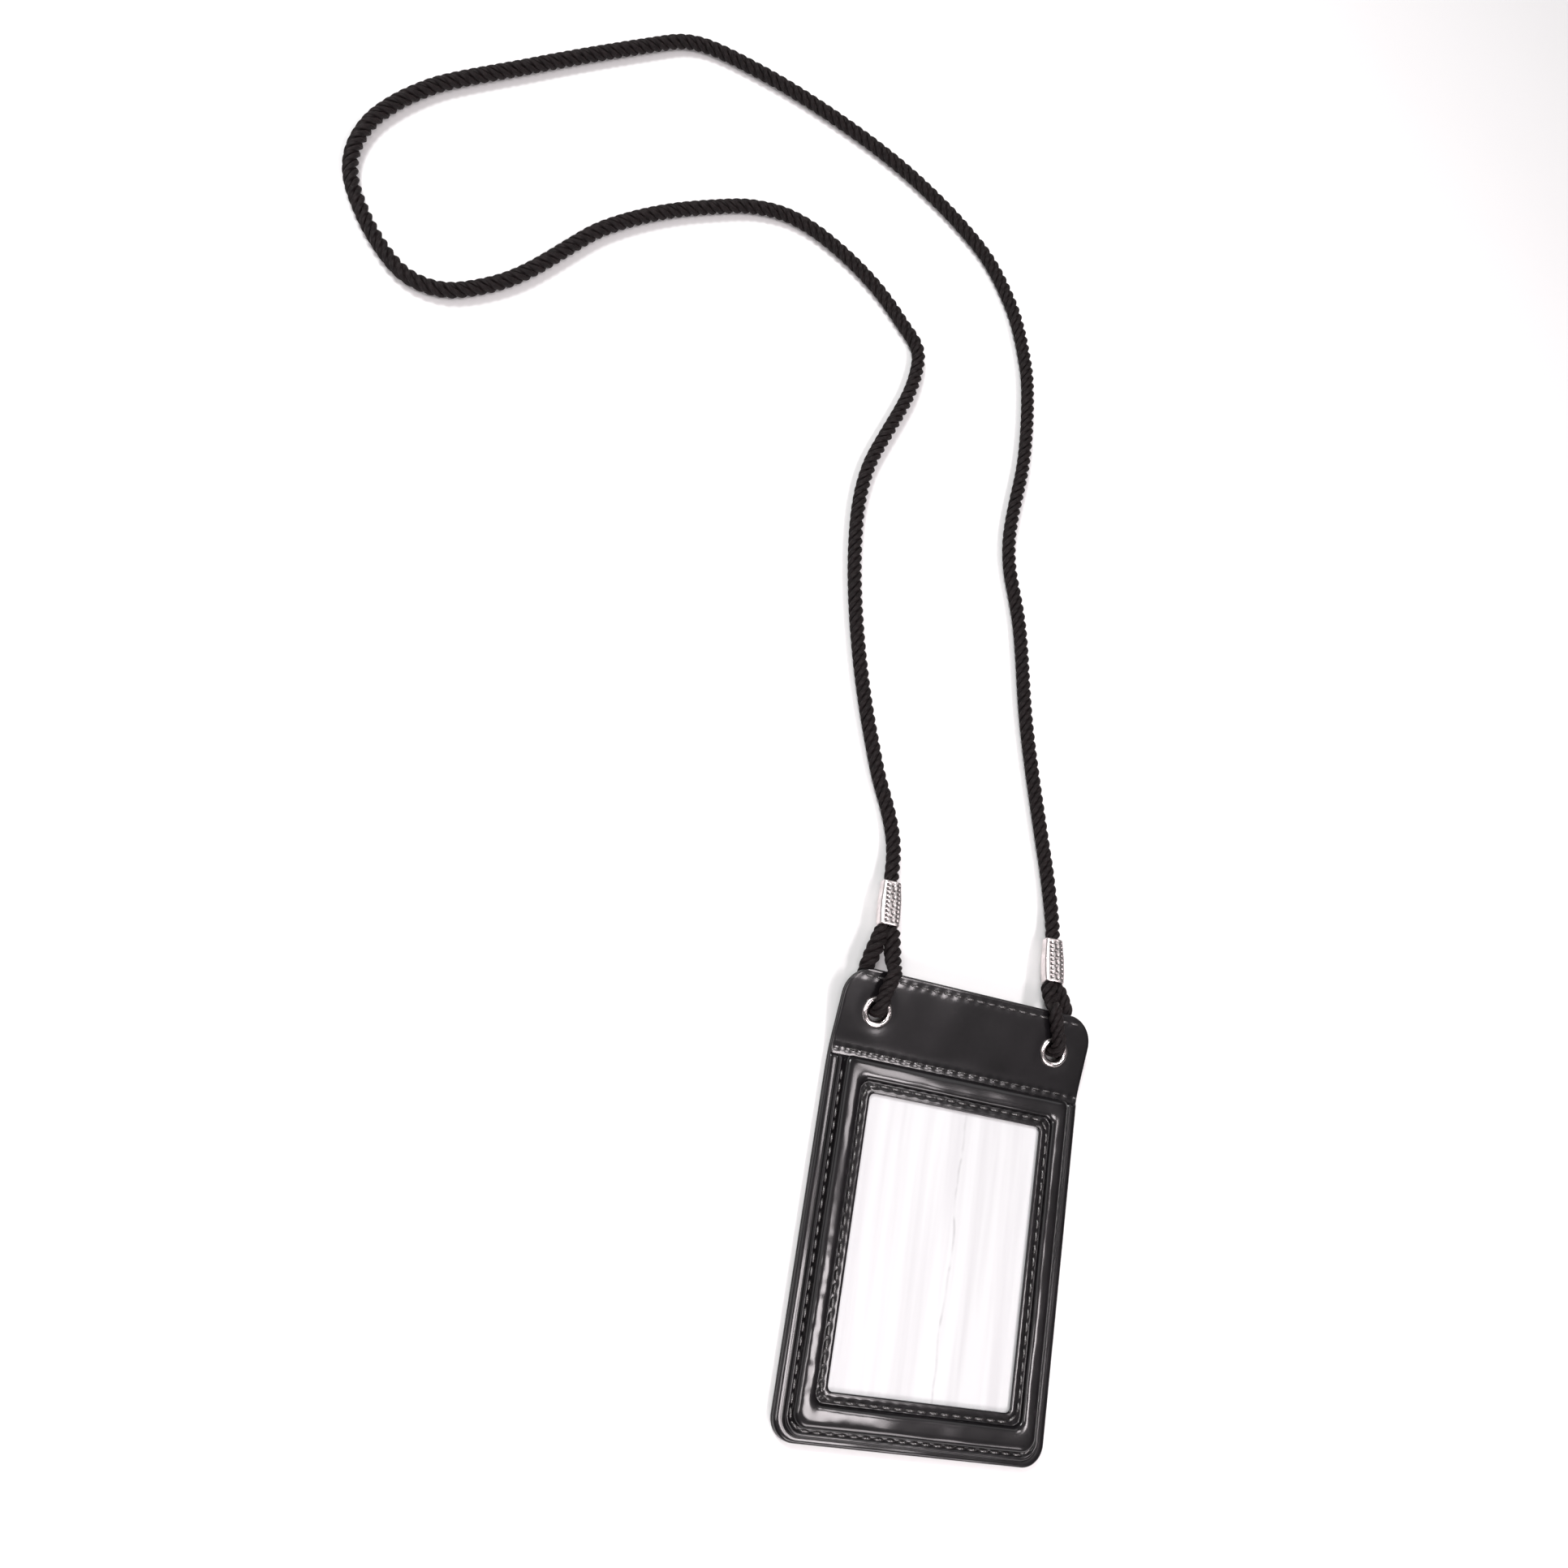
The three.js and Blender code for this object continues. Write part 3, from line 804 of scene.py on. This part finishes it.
def stitch_row(name, path, up, node, closed=False, pitch=STITCH_PITCH):
    """A row of separate stitches along a path, standing for one CAD thread node."""
    if closed:
        path = np.concatenate([path, path[:1]])
    position = run_length(path)
    count = round(position[-1] / pitch)
    pitch = position[-1] / count
    draw = np.random.default_rng(len(path))
    skins = []
    for k in range(count):
        middle = (k + 0.5) * pitch
        ends = []
        for side in (-STITCH_HALF, STITCH_HALF):
            place = middle + side * pitch + draw.normal(0, 0.04)
            ends.append(np.array([np.interp(place, position, path[:, i]) for i in range(3)]))
        skins.append(stitch(ends[0], ends[1], up))
    obj = joined_skins(name, skins)
    tag_tube(obj, len(skins), STITCH_RINGS, STITCH_SIDES, 0.36)
    finish_piece(obj, "pouch", THREAD, "sewing_thread", node)


def tag_tube(obj, tubes, rows, columns, spacing):
    """Stores each vertex's place along and around its tube, for the twist in the material."""
    along = np.tile(np.repeat(np.arange(rows) * spacing, columns), tubes)
    around = np.tile(np.arange(columns) / columns, tubes * rows)
    for name, values in (("along", along), ("around", around)):
        layer = obj.data.attributes.new(name, "FLOAT", "POINT")
        layer.data.foreach_set("value", values.astype(np.float32))


def raised(path, height):
    return np.column_stack([path, np.full(len(path), height)])


def header_row(along, half, height, count=80):
    """A straight row across the header, at a height above the back face."""
    y, z = sheet_point(along, height)
    return np.array([(x, float(y), float(z)) for x in np.linspace(-half, half, count)])


def leaning(angle):
    """The upward direction of leather tilted by the angle."""
    return np.array([0.0, -math.sin(angle), math.cos(angle)])


def build_stitching():
    window_row = raised(closed_loop(stitch_line), 5.06)
    border = open_loop(between(bulge_outer, bead_edge, BORDER_STITCH_SHARE))
    border_row = raised(border[6:-6], 3.72)
    top_row = header_row(TOP_STITCH_ALONG, 33.5, FRONT_TOP - 0.07)
    seam_row = header_row(SEAM_ALONG, 33.0, FRONT_TOP - 0.25)
    stitch_row("window_stitches", window_row, leaning(0), "window_thread", closed=True)
    stitch_row("border_stitches", border_row, leaning(0), "frame_thread")
    stitch_row("header_top_stitches", top_row, leaning(HEADER_TILT), "header_top_thread")
    stitch_row("header_seam_stitches", seam_row, leaning(HEADER_TILT * 0.65), "header_seam_thread")


# ------------------------------------------------------------------ metal fittings

def header_matrix(x, along):
    """Axes of the tilted header at a point of its back face."""
    y, z = sheet_point(along, 0.0)
    return Matrix.Translation((x, float(y), float(z))) @ Matrix.Rotation(HEADER_TILT, 4, "X")


def turned(name, profile, matrix, segments=72):
    """A closed profile of radius and height, turned about the matrix's z axis."""
    angle = np.linspace(0, TAU, segments, endpoint=False)
    loops = []
    for a in angle:
        loops.append([(r * math.cos(a), r * math.sin(a), h) for r, h in profile])
    loops = np.array(loops)
    placed = np.array([matrix @ Vector(p) for p in loops.reshape(-1, 3)]).reshape(loops.shape)
    return loft(name, placed, ring_rows=True)


def arc_profile(centre, radii, start, end, count):
    """Points of an elliptical arc between two angles in degrees."""
    angle = np.linspace(math.radians(start), math.radians(end), count)
    return [(centre[0] + radii[0] * math.cos(a), centre[1] + radii[1] * math.sin(a)) for a in angle]


def build_eyelets():
    """Rolled rings through the header, each with its washer behind, in the header's own axes."""
    for word, side in (("left", -1), ("right", 1)):
        place = header_matrix(side * EYELET_X, EYELET_ALONG)
        seat = FRONT_TOP - 0.08
        dome = arc_profile((3.45, seat), (0.9, 0.66), 0, 140, 12)
        throat = arc_profile((2.85, seat - 0.35), (0.35, 0.75), 105, 180, 7)
        roll = arc_profile((3.0, -0.3), (0.5, 0.4), 180, 360, 10)
        profile = dome + throat + roll + [(2.75, -0.25), (2.75, seat - 0.1), (4.3, seat - 0.1)]
        ring = turned(f"{word}_eyelet_ring", profile, place)
        finish_piece(ring, "pouch", EYELET_NICKEL, "nickel", f"{word}_eyelet")
        plate = arc_profile((3.55, -0.05), (0.55, 0.3), 180, 360, 9) + [(4.1, 0.02), (3.0, 0.02)]
        washer = turned(f"{word}_eyelet_backing", plate, place)
        finish_piece(washer, "pouch", EYELET_NICKEL, "nickel", f"{word}_eyelet_washer")


CRIMP_HALF_WIDTH = 3.3
CRIMP_HALF_THICKNESS = 2.1
CRIMP_WALL = 0.55
CRIMP_SQUARENESS = 2 / 3.2
CRIMP_COLUMNS = 120
CRIMP_ROWS = 110
CRIMP_BORE_ROWS = 24
# A mark this deep gets the full painted shade.
DEEPEST_MARK = 0.3


def ferrule_axes(start, end):
    """The crimp's length, width and upward directions."""
    axis = (end - start) / np.linalg.norm(end - start)
    across = np.cross([0, 0, -1.0], axis)
    across /= np.linalg.norm(across)
    return axis, across, np.cross(across, axis)


def squared(wave):
    """A sine or cosine made fuller, so that a circle becomes a rounded box."""
    return np.sign(wave) * np.abs(wave) ** CRIMP_SQUARENESS


def crimp_section(share, length, wall):
    """Width and height of the points round a crimp, wall deep inside its outer face."""
    angle = np.linspace(0, TAU, CRIMP_COLUMNS, endpoint=False)
    waist = 1 - 0.14 * smooth_step(0.5, 1.0, share) - 0.06 * smooth_step(0.25, 0.0, share)
    flattened = 1 - 0.1 * smooth_step(0.5, 1.0, share)
    edge = min(share, 1 - share) * length
    lip = 0.22 * (1 - smooth_step(0.0, 0.3, edge))
    wide = CRIMP_HALF_WIDTH * waist - wall - lip
    thick = CRIMP_HALF_THICKNESS * flattened - wall - lip
    return wide * squared(np.cos(angle)), thick * squared(np.sin(angle))


def build_ferrules():
    """Flattened crimps: a folded metal tube with a toothed seam and pressed dimples."""
    stations = [(share, 0.0) for share in np.linspace(1, 0, CRIMP_ROWS)]
    stations += [(share, CRIMP_WALL) for share in np.linspace(0, 1, CRIMP_BORE_ROWS)]
    for word in ("left", "right"):
        start, end = tube_ends(f"{word}_ferrule")
        axis, across, up = ferrule_axes(start, end)
        length = np.linalg.norm(end - start)
        loops = []
        depths = []
        for share, wall in stations:
            u, v = crimp_section(share, length, wall)
            depth = crimp_marks(u, v, share * length, length) if wall == 0 else 0.0 * u
            centre = start + axis * length * share
            loops.append(centre + np.outer(u, across) + np.outer(v - depth, up))
            depths.append(depth)
        obj = loft(f"{word}_crimp", np.array(loops), ring_rows=True)
        # The pressed attribute carries painted shade, darker the deeper the mark.
        painted_mark_shade = np.clip(np.concatenate(depths) / DEEPEST_MARK, 0, 1)
        pressed = obj.data.attributes.new("pressed", "FLOAT", "POINT")
        pressed.data.foreach_set("value", painted_mark_shade.astype(np.float32))
        finish_piece(obj, "cord", CRIMP_NICKEL, "nickel", f"{word}_ferrule")


def crimp_marks(u, v, along, length):
    """Depth of the toothed seam and of two rows of dimples on a crimp's upper face."""
    face = (v > 0.6).astype(float)
    wave = abs((along / 1.15) % 2 - 1)
    seam = 0.5 * np.exp(-((u - 0.55 + 0.5 * wave) / 0.22) ** 2)
    dimples = 0.0
    for row in (-1.35, 1.75):
        nearest = round(along / 1.3) * 1.3
        dimples = dimples + 0.34 * np.exp(-((u - row) ** 2 + (along - nearest) ** 2) / 0.15)
    inside = smooth_step(0.4, 1.2, along) * smooth_step(0.4, 1.2, length - along)
    return face * inside * (seam + dimples)


# ------------------------------------------------------------------ cord

CORD_RADIUS = 2.12
PLIES = 4
PLY_SIDES = 9
PLY_RADIUS = CORD_RADIUS / (1 + math.sqrt(2))
LAY_LENGTH = 11.0
CORD_STEP = 0.62
LEG_HALF_WIDTH = 1.8
LEG_HALF_THICKNESS = 1.4
LEG_AIR = 0.6               # between a leg of the cord and the header's face
EYELET_TURN = 2.4           # radius of the cord's turn into an eyelet


def follow_tube(points, place, heading, goal, step=2.5, reach_ahead=2.6, reach_aside=3.4):
    """The centre line of a tube, found by walking through its skin's points."""
    line_points = [place]
    while np.linalg.norm(goal - line_points[-1]) > 2 * step:
        guess = line_points[-1] + heading * step
        offset = points - guess
        ahead = offset @ heading
        aside = np.linalg.norm(offset - np.outer(ahead, heading), axis=1)
        centre = points[(np.abs(ahead) < reach_ahead) & (aside < reach_aside)].mean(0)
        centre = centre - heading * ((centre - guess) @ heading)
        new_heading = centre - line_points[-1]
        heading = new_heading / np.linalg.norm(new_heading)
        line_points.append(centre)
    return np.array(line_points)


def smoothed(points, passes):
    """The line with its bumps averaged out, its ends kept."""
    points = points.copy()
    for _ in range(passes):
        points[1:-1] = 0.25 * points[:-2] + 0.5 * points[1:-1] + 0.25 * points[2:]
    return points


def loop_points(word, side):
    """The cord's turn through an eyelet, from its upper leg to its lower one."""
    low, high = corners(f"{word}_cord_loop")
    spread = sorted((abs(low[0]), abs(high[0])))
    front_leg = spread[0] + LEG_HALF_WIDTH + 0.5
    rear_leg = spread[1] - LEG_HALF_WIDTH - 1.3
    over = FRONT_TOP + LEG_AIR + LEG_HALF_THICKNESS
    under = -(LEG_AIR + LEG_HALF_THICKNESS)
    slack = EYELET_TURN * (1 - math.sqrt(0.5))
    on_header = [
        (front_leg, 24.8, 3.5),
        (front_leg + 0.5, 22.8, over),
        ((front_leg + EYELET_X) / 2 + 0.5, 18.5, over),
        (EYELET_X, EYELET_ALONG + EYELET_TURN, over),
        (EYELET_X, EYELET_ALONG + slack, over - slack),
        (EYELET_X, EYELET_ALONG, over - EYELET_TURN),
        (EYELET_X, EYELET_ALONG, under + EYELET_TURN),
        (EYELET_X, EYELET_ALONG + slack, under + slack),
        (EYELET_X, EYELET_ALONG + EYELET_TURN, under),
        ((rear_leg + EYELET_X) / 2, 18.8, under),
        (rear_leg + 0.2, 22.8, under - 0.1),
    ]
    points = [(side * front_leg, HINGE[1] - 2.3, HINGE[2] + 1.3)]
    for x, along, height in on_header:
        y, z = sheet_point(along, height)
        points.append((side * x, float(y), float(z)))
    points.append((side * rear_leg, HINGE[1] - 2.3, HINGE[2] - 1.8))
    return np.array(points)


def strand_mouths(word):
    """Where the upper and the lower strand enter a crimp."""
    mouth, _ = tube_ends(f"{word}_ferrule")
    side = np.sign(mouth[0])
    inner = mouth + np.array([-side * 1.3, 0, 0.1])
    outer = mouth + np.array([side * 1.3, 0, -0.1])
    return inner, outer


def end_run(word):
    """From inside a crimp, out and round through the eyelet, and back into the crimp."""
    mouth, far = tube_ends(f"{word}_ferrule")
    side = np.sign(mouth[0])
    upper, lower = strand_mouths(word)
    axis = (far - mouth) / np.linalg.norm(far - mouth)
    return np.concatenate([
        [lower + axis * 5, lower + axis * 1.0, lower - axis * 0.8],
        loop_points(word, side)[::-1],
        [upper - axis * 0.8, upper + axis * 2.5, mouth + axis * 8, far],
    ])


def spline(points, spacing):
    """An evenly spaced smooth curve through the points, and its distances along itself."""
    padded = np.concatenate([[2 * points[0] - points[1]], points, [2 * points[-1] - points[-2]]])
    curve = []
    for p0, p1, p2, p3 in zip(padded, padded[1:], padded[2:], padded[3:]):
        gaps = [max(np.linalg.norm(b - a), 1e-6) ** 0.5 for a, b in ((p0, p1), (p1, p2), (p2, p3))]
        t1 = gaps[0]
        t2 = t1 + gaps[1]
        t3 = t2 + gaps[2]
        count = max(2, int(np.linalg.norm(p2 - p1) / 0.3))
        for t in np.linspace(t1, t2, count, endpoint=False):
            a1 = p0 * (t1 - t) / t1 + p1 * t / t1
            a2 = p1 * (t2 - t) / gaps[1] + p2 * (t - t1) / gaps[1]
            a3 = p2 * (t3 - t) / gaps[2] + p3 * (t - t2) / gaps[2]
            b1 = a1 * (t2 - t) / t2 + a2 * t / t2
            b2 = a2 * (t3 - t) / (t3 - t1) + a3 * (t - t1) / (t3 - t1)
            curve.append(b1 * (t2 - t) / gaps[1] + b2 * (t - t1) / gaps[1])
    curve = np.array(curve + [points[-1]])
    position = run_length(curve)
    even = np.linspace(0, position[-1], int(position[-1] / spacing))
    return np.stack([np.interp(even, position, curve[:, i]) for i in range(3)], 1), even


def carried_axes(path):
    """A tangent and two cross axes at each point, carried along without twisting."""
    tangent = np.gradient(path, axis=0)
    tangent /= np.linalg.norm(tangent, axis=1)[:, None]
    first = np.array([0.0, 0.0, 1.0])
    normal = [first - tangent[0] * (first @ tangent[0])]
    for t in tangent[1:]:
        n = normal[-1] - t * (normal[-1] @ t)
        normal.append(n / np.linalg.norm(n))
    normal = np.array(normal)
    return tangent, normal, np.cross(tangent, normal)


def cord_line():
    """The cord's centre line, from inside the left crimp to inside the right one."""
    skin = np.array([v.co for v in frame["nodes"]["neck_cord"].data.vertices]) / MM
    left_mouth, left_far = tube_ends("left_ferrule")
    _, right_far = tube_ends("right_ferrule")
    heading = (left_far - left_mouth) / np.linalg.norm(left_far - left_mouth)
    start = left_far + heading * 2.5
    run = smoothed(follow_tube(skin, start, heading, right_far), 4)
    points = np.concatenate([end_run("left"), run, end_run("right")[::-1]])
    return spline(points, CORD_STEP)


def inside_crimp(path, mouth, far):
    """1 where the path runs inside a crimp, 0 elsewhere."""
    length = np.linalg.norm(far - mouth)
    axis = (far - mouth) / length
    along = (path - mouth) @ axis
    close = np.linalg.norm(path - mouth - np.outer(along, axis), axis=1) < 4
    inside = smooth_step(-1.2, 0.4, along) * smooth_step(length + 0.6, length - 0.6, along)
    return np.where(close, inside, 0)


def cord_fullness(path):
    """The cord's share of its full thickness: less in the crimps, more where its strands part."""
    left_mouth, left_far = tube_ends("left_ferrule")
    right_mouth, right_far = tube_ends("right_ferrule")
    squeezed = np.maximum(
        inside_crimp(path, left_mouth, left_far), inside_crimp(path, right_mouth, right_far))
    past_mouth = path[:, 1] - np.where(path[:, 0] < 0, left_mouth[1], right_mouth[1])
    header_top = sheet_point(HEADER_LENGTH, 0)[0]
    parted = smooth_step(header_top - 0.5, header_top + 3, path[:, 1])
    parted = parted * smooth_step(0.5, -2.5, past_mouth)
    return (1 - 0.42 * squeezed) * (1 + 0.14 * parted)


def build_cord():
    """Four plies wound along the cord's line, pulled flat over the header."""
    path, position = cord_line()
    tangent, normal, side = carried_axes(path)
    fullness = cord_fullness(path)
    pulled = smooth_step(HINGE[1] + 1.5, HINGE[1] - 1.0, path[:, 1])
    flat_axis = np.cross([1.0, 0, 0], tangent)
    flat_axis /= np.linalg.norm(flat_axis, axis=1)[:, None]

    sides = np.linspace(0, TAU, PLY_SIDES, endpoint=False)
    ring = PLY_RADIUS * 1.04 * (
        np.cos(sides)[None, :, None] * normal[:, None, :]
        + np.sin(sides)[None, :, None] * side[:, None, :])
    skins = []
    for ply in range(PLIES):
        angle = TAU * (position / LAY_LENGTH + ply / PLIES)
        middle = (CORD_RADIUS - PLY_RADIUS) * (
            np.cos(angle)[:, None] * normal + np.sin(angle)[:, None] * side)
        rings = (middle[:, None, :] + ring) * fullness[:, None, None]
        depth = np.einsum("ijk,ik->ij", rings, flat_axis)
        rings -= (0.28 * pulled)[:, None, None] * depth[:, :, None] * flat_axis[:, None, :]
        skins.append(path[:, None, :] + rings)
    cord = joined_skins("twisted_cord", skins)
    tag_tube(cord, PLIES, len(path), len(sides), position[1])
    finish_piece(cord, None, YARN, "cord_yarn", "neck_cord", "left_cord_loop", "right_cord_loop")
    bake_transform(cord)


# ------------------------------------------------------------------ carried-over CAD nodes

def dress_cad_nodes():
    """Materials for the pieces whose CAD shape is already right."""
    for node, material, slot in (
        ("insert_card", CARD, "insert_paper"),
        ("stiffener_board", BOARD, "fibre_board"),
        ("pocket_lining", WEAVE, "lining_cloth"),
        ("frame_padding", FOAM, "padding_foam"),
    ):
        obj = frame["nodes"][node]
        obj.data.materials.clear()
        obj.data.materials.append(material)


# ------------------------------------------------------------------ stage, light, camera

WORLD_LIGHT = 0.1
WORLD_SEEN = 0.8
FLOOR_SIZE = 16
FLOOR_DROP = 0.0003
GLOW_REACH = 3.0


def build_stage():
    """A pale floor, kept pale by a faint glow of its own where the lights no longer reach."""
    bpy.ops.mesh.primitive_plane_add(size=FLOOR_SIZE, location=(0, 0, -FLOOR_DROP))
    floor = bpy.context.object
    floor.name = "floor"
    s = Shader("pale_floor")
    s.color(s.ramp(s.noise(3, 3), (0.3, 0.83), (0.7, 0.86)))
    distance = s.add("ShaderNodeVectorMath", operation="LENGTH")
    s.link(s.place, distance, 0)
    far = s.math("DIVIDE", distance.outputs["Value"], GLOW_REACH)
    glow = s.ramp(far, (0.25, 0.0), (0.75, WORLD_SEEN - WORLD_LIGHT))
    s.link(glow, s.surface, "Emission Strength")
    s.set(Roughness=0.65, Specular_IOR_Level=0.25, Emission_Color=(1, 1, 1, 1))
    floor.data.materials.append(s.material)


def soft_light(name, place, target, size, power, tint=(1, 1, 1)):
    """A rectangular light aimed at a target; sizes in metres, power in watts."""
    data = bpy.data.lights.new(name, "AREA")
    data.shape = "RECTANGLE"
    data.size, data.size_y = size
    data.energy = power
    data.color = tint
    light = bpy.data.objects.new(name, data)
    bpy.context.scene.collection.objects.link(light)
    light.location = place
    light.rotation_euler = (Vector(target) - Vector(place)).to_track_quat("-Z", "Y").to_euler()


def build_lights():
    """A soft key and a wide softbox on the left, and small lights for the sheen.

    The world looks paler to the camera than the light it gives.
    """
    middle = (-0.05, 0.1, 0.0)
    pouch = (0, 0, 0)
    rosy = (1.0, 0.93, 0.95)
    soft_light("key", (-0.6, 0.62, 0.95), middle, (0.35, 0.35), 10)
    soft_light("left_softbox", (-0.9, 0.0, 1.0), middle, (0.8, 1.0), 3)
    soft_light("sheen_top_strip", (0.42, 0.2, 1.05), pouch, (0.18, 0.12), 1.3, rosy)
    soft_light("sheen_corner", (0.36, -0.085, 1.05), pouch, (0.2, 0.17), 3.0, rosy)
    soft_light("metal_softbox", (0.5, 0.68, 1.0), middle, (0.5, 0.4), 0.9)
    soft_light("sheen_left", (-0.26, -0.16, 0.95), pouch, (0.16, 0.3), 2.0, rosy)
    soft_light("sheen_foot", (0.22, -0.64, 0.64), pouch, (0.5, 0.28), 5.0, rosy)
    world = bpy.data.worlds.new("studio")
    world.use_nodes = True
    tree = world.node_tree
    background = tree.nodes["Background"]
    seen = tree.nodes.new("ShaderNodeLightPath")
    strength = tree.nodes.new("ShaderNodeMapRange")
    strength.inputs["To Min"].default_value = WORLD_LIGHT
    strength.inputs["To Max"].default_value = WORLD_SEEN
    tree.links.new(seen.outputs["Is Camera Ray"], strength.inputs["Value"])
    tree.links.new(strength.outputs["Result"], background.inputs["Strength"])
    background.inputs["Color"].default_value = (1, 1, 1, 1)
    bpy.context.scene.world = world


CAMERA_PLACE = Vector((-0.1641, -0.0191, 0.3378))
CAMERA_TARGET = Vector((-0.0342, 0.0999, 0.0))
CAMERA_ROLL = math.radians(8.7)
CAMERA_LENS = 31.15
CAMERA_SENSOR = 36
CAMERA_SHIFT = (-0.0572, 0.0299)


def build_camera():
    """A hand-held view from above the pouch's left side, rolled a little."""
    data = bpy.data.cameras.new("camera")
    data.lens = CAMERA_LENS
    data.sensor_width = CAMERA_SENSOR
    data.shift_x, data.shift_y = CAMERA_SHIFT
    data.clip_start = 0.01
    camera = bpy.data.objects.new("camera", data)
    bpy.context.scene.collection.objects.link(camera)
    ahead = (CAMERA_TARGET - CAMERA_PLACE).normalized()
    level = ahead.cross(Vector((0, 1, 0))).normalized()
    right = level * math.cos(CAMERA_ROLL) + level.cross(ahead) * math.sin(CAMERA_ROLL)
    axes = Matrix((right, right.cross(ahead), -ahead)).transposed().to_4x4()
    camera.matrix_world = Matrix.Translation(CAMERA_PLACE) @ axes
    bpy.context.scene.camera = camera
    bpy.context.scene.view_settings.view_transform = "Standard"


build_sheets()
build_bulge()
build_border()
build_film()
build_stitching()
build_eyelets()
build_ferrules()
build_cord()
dress_cad_nodes()
build_stage()
build_lights()
build_camera()
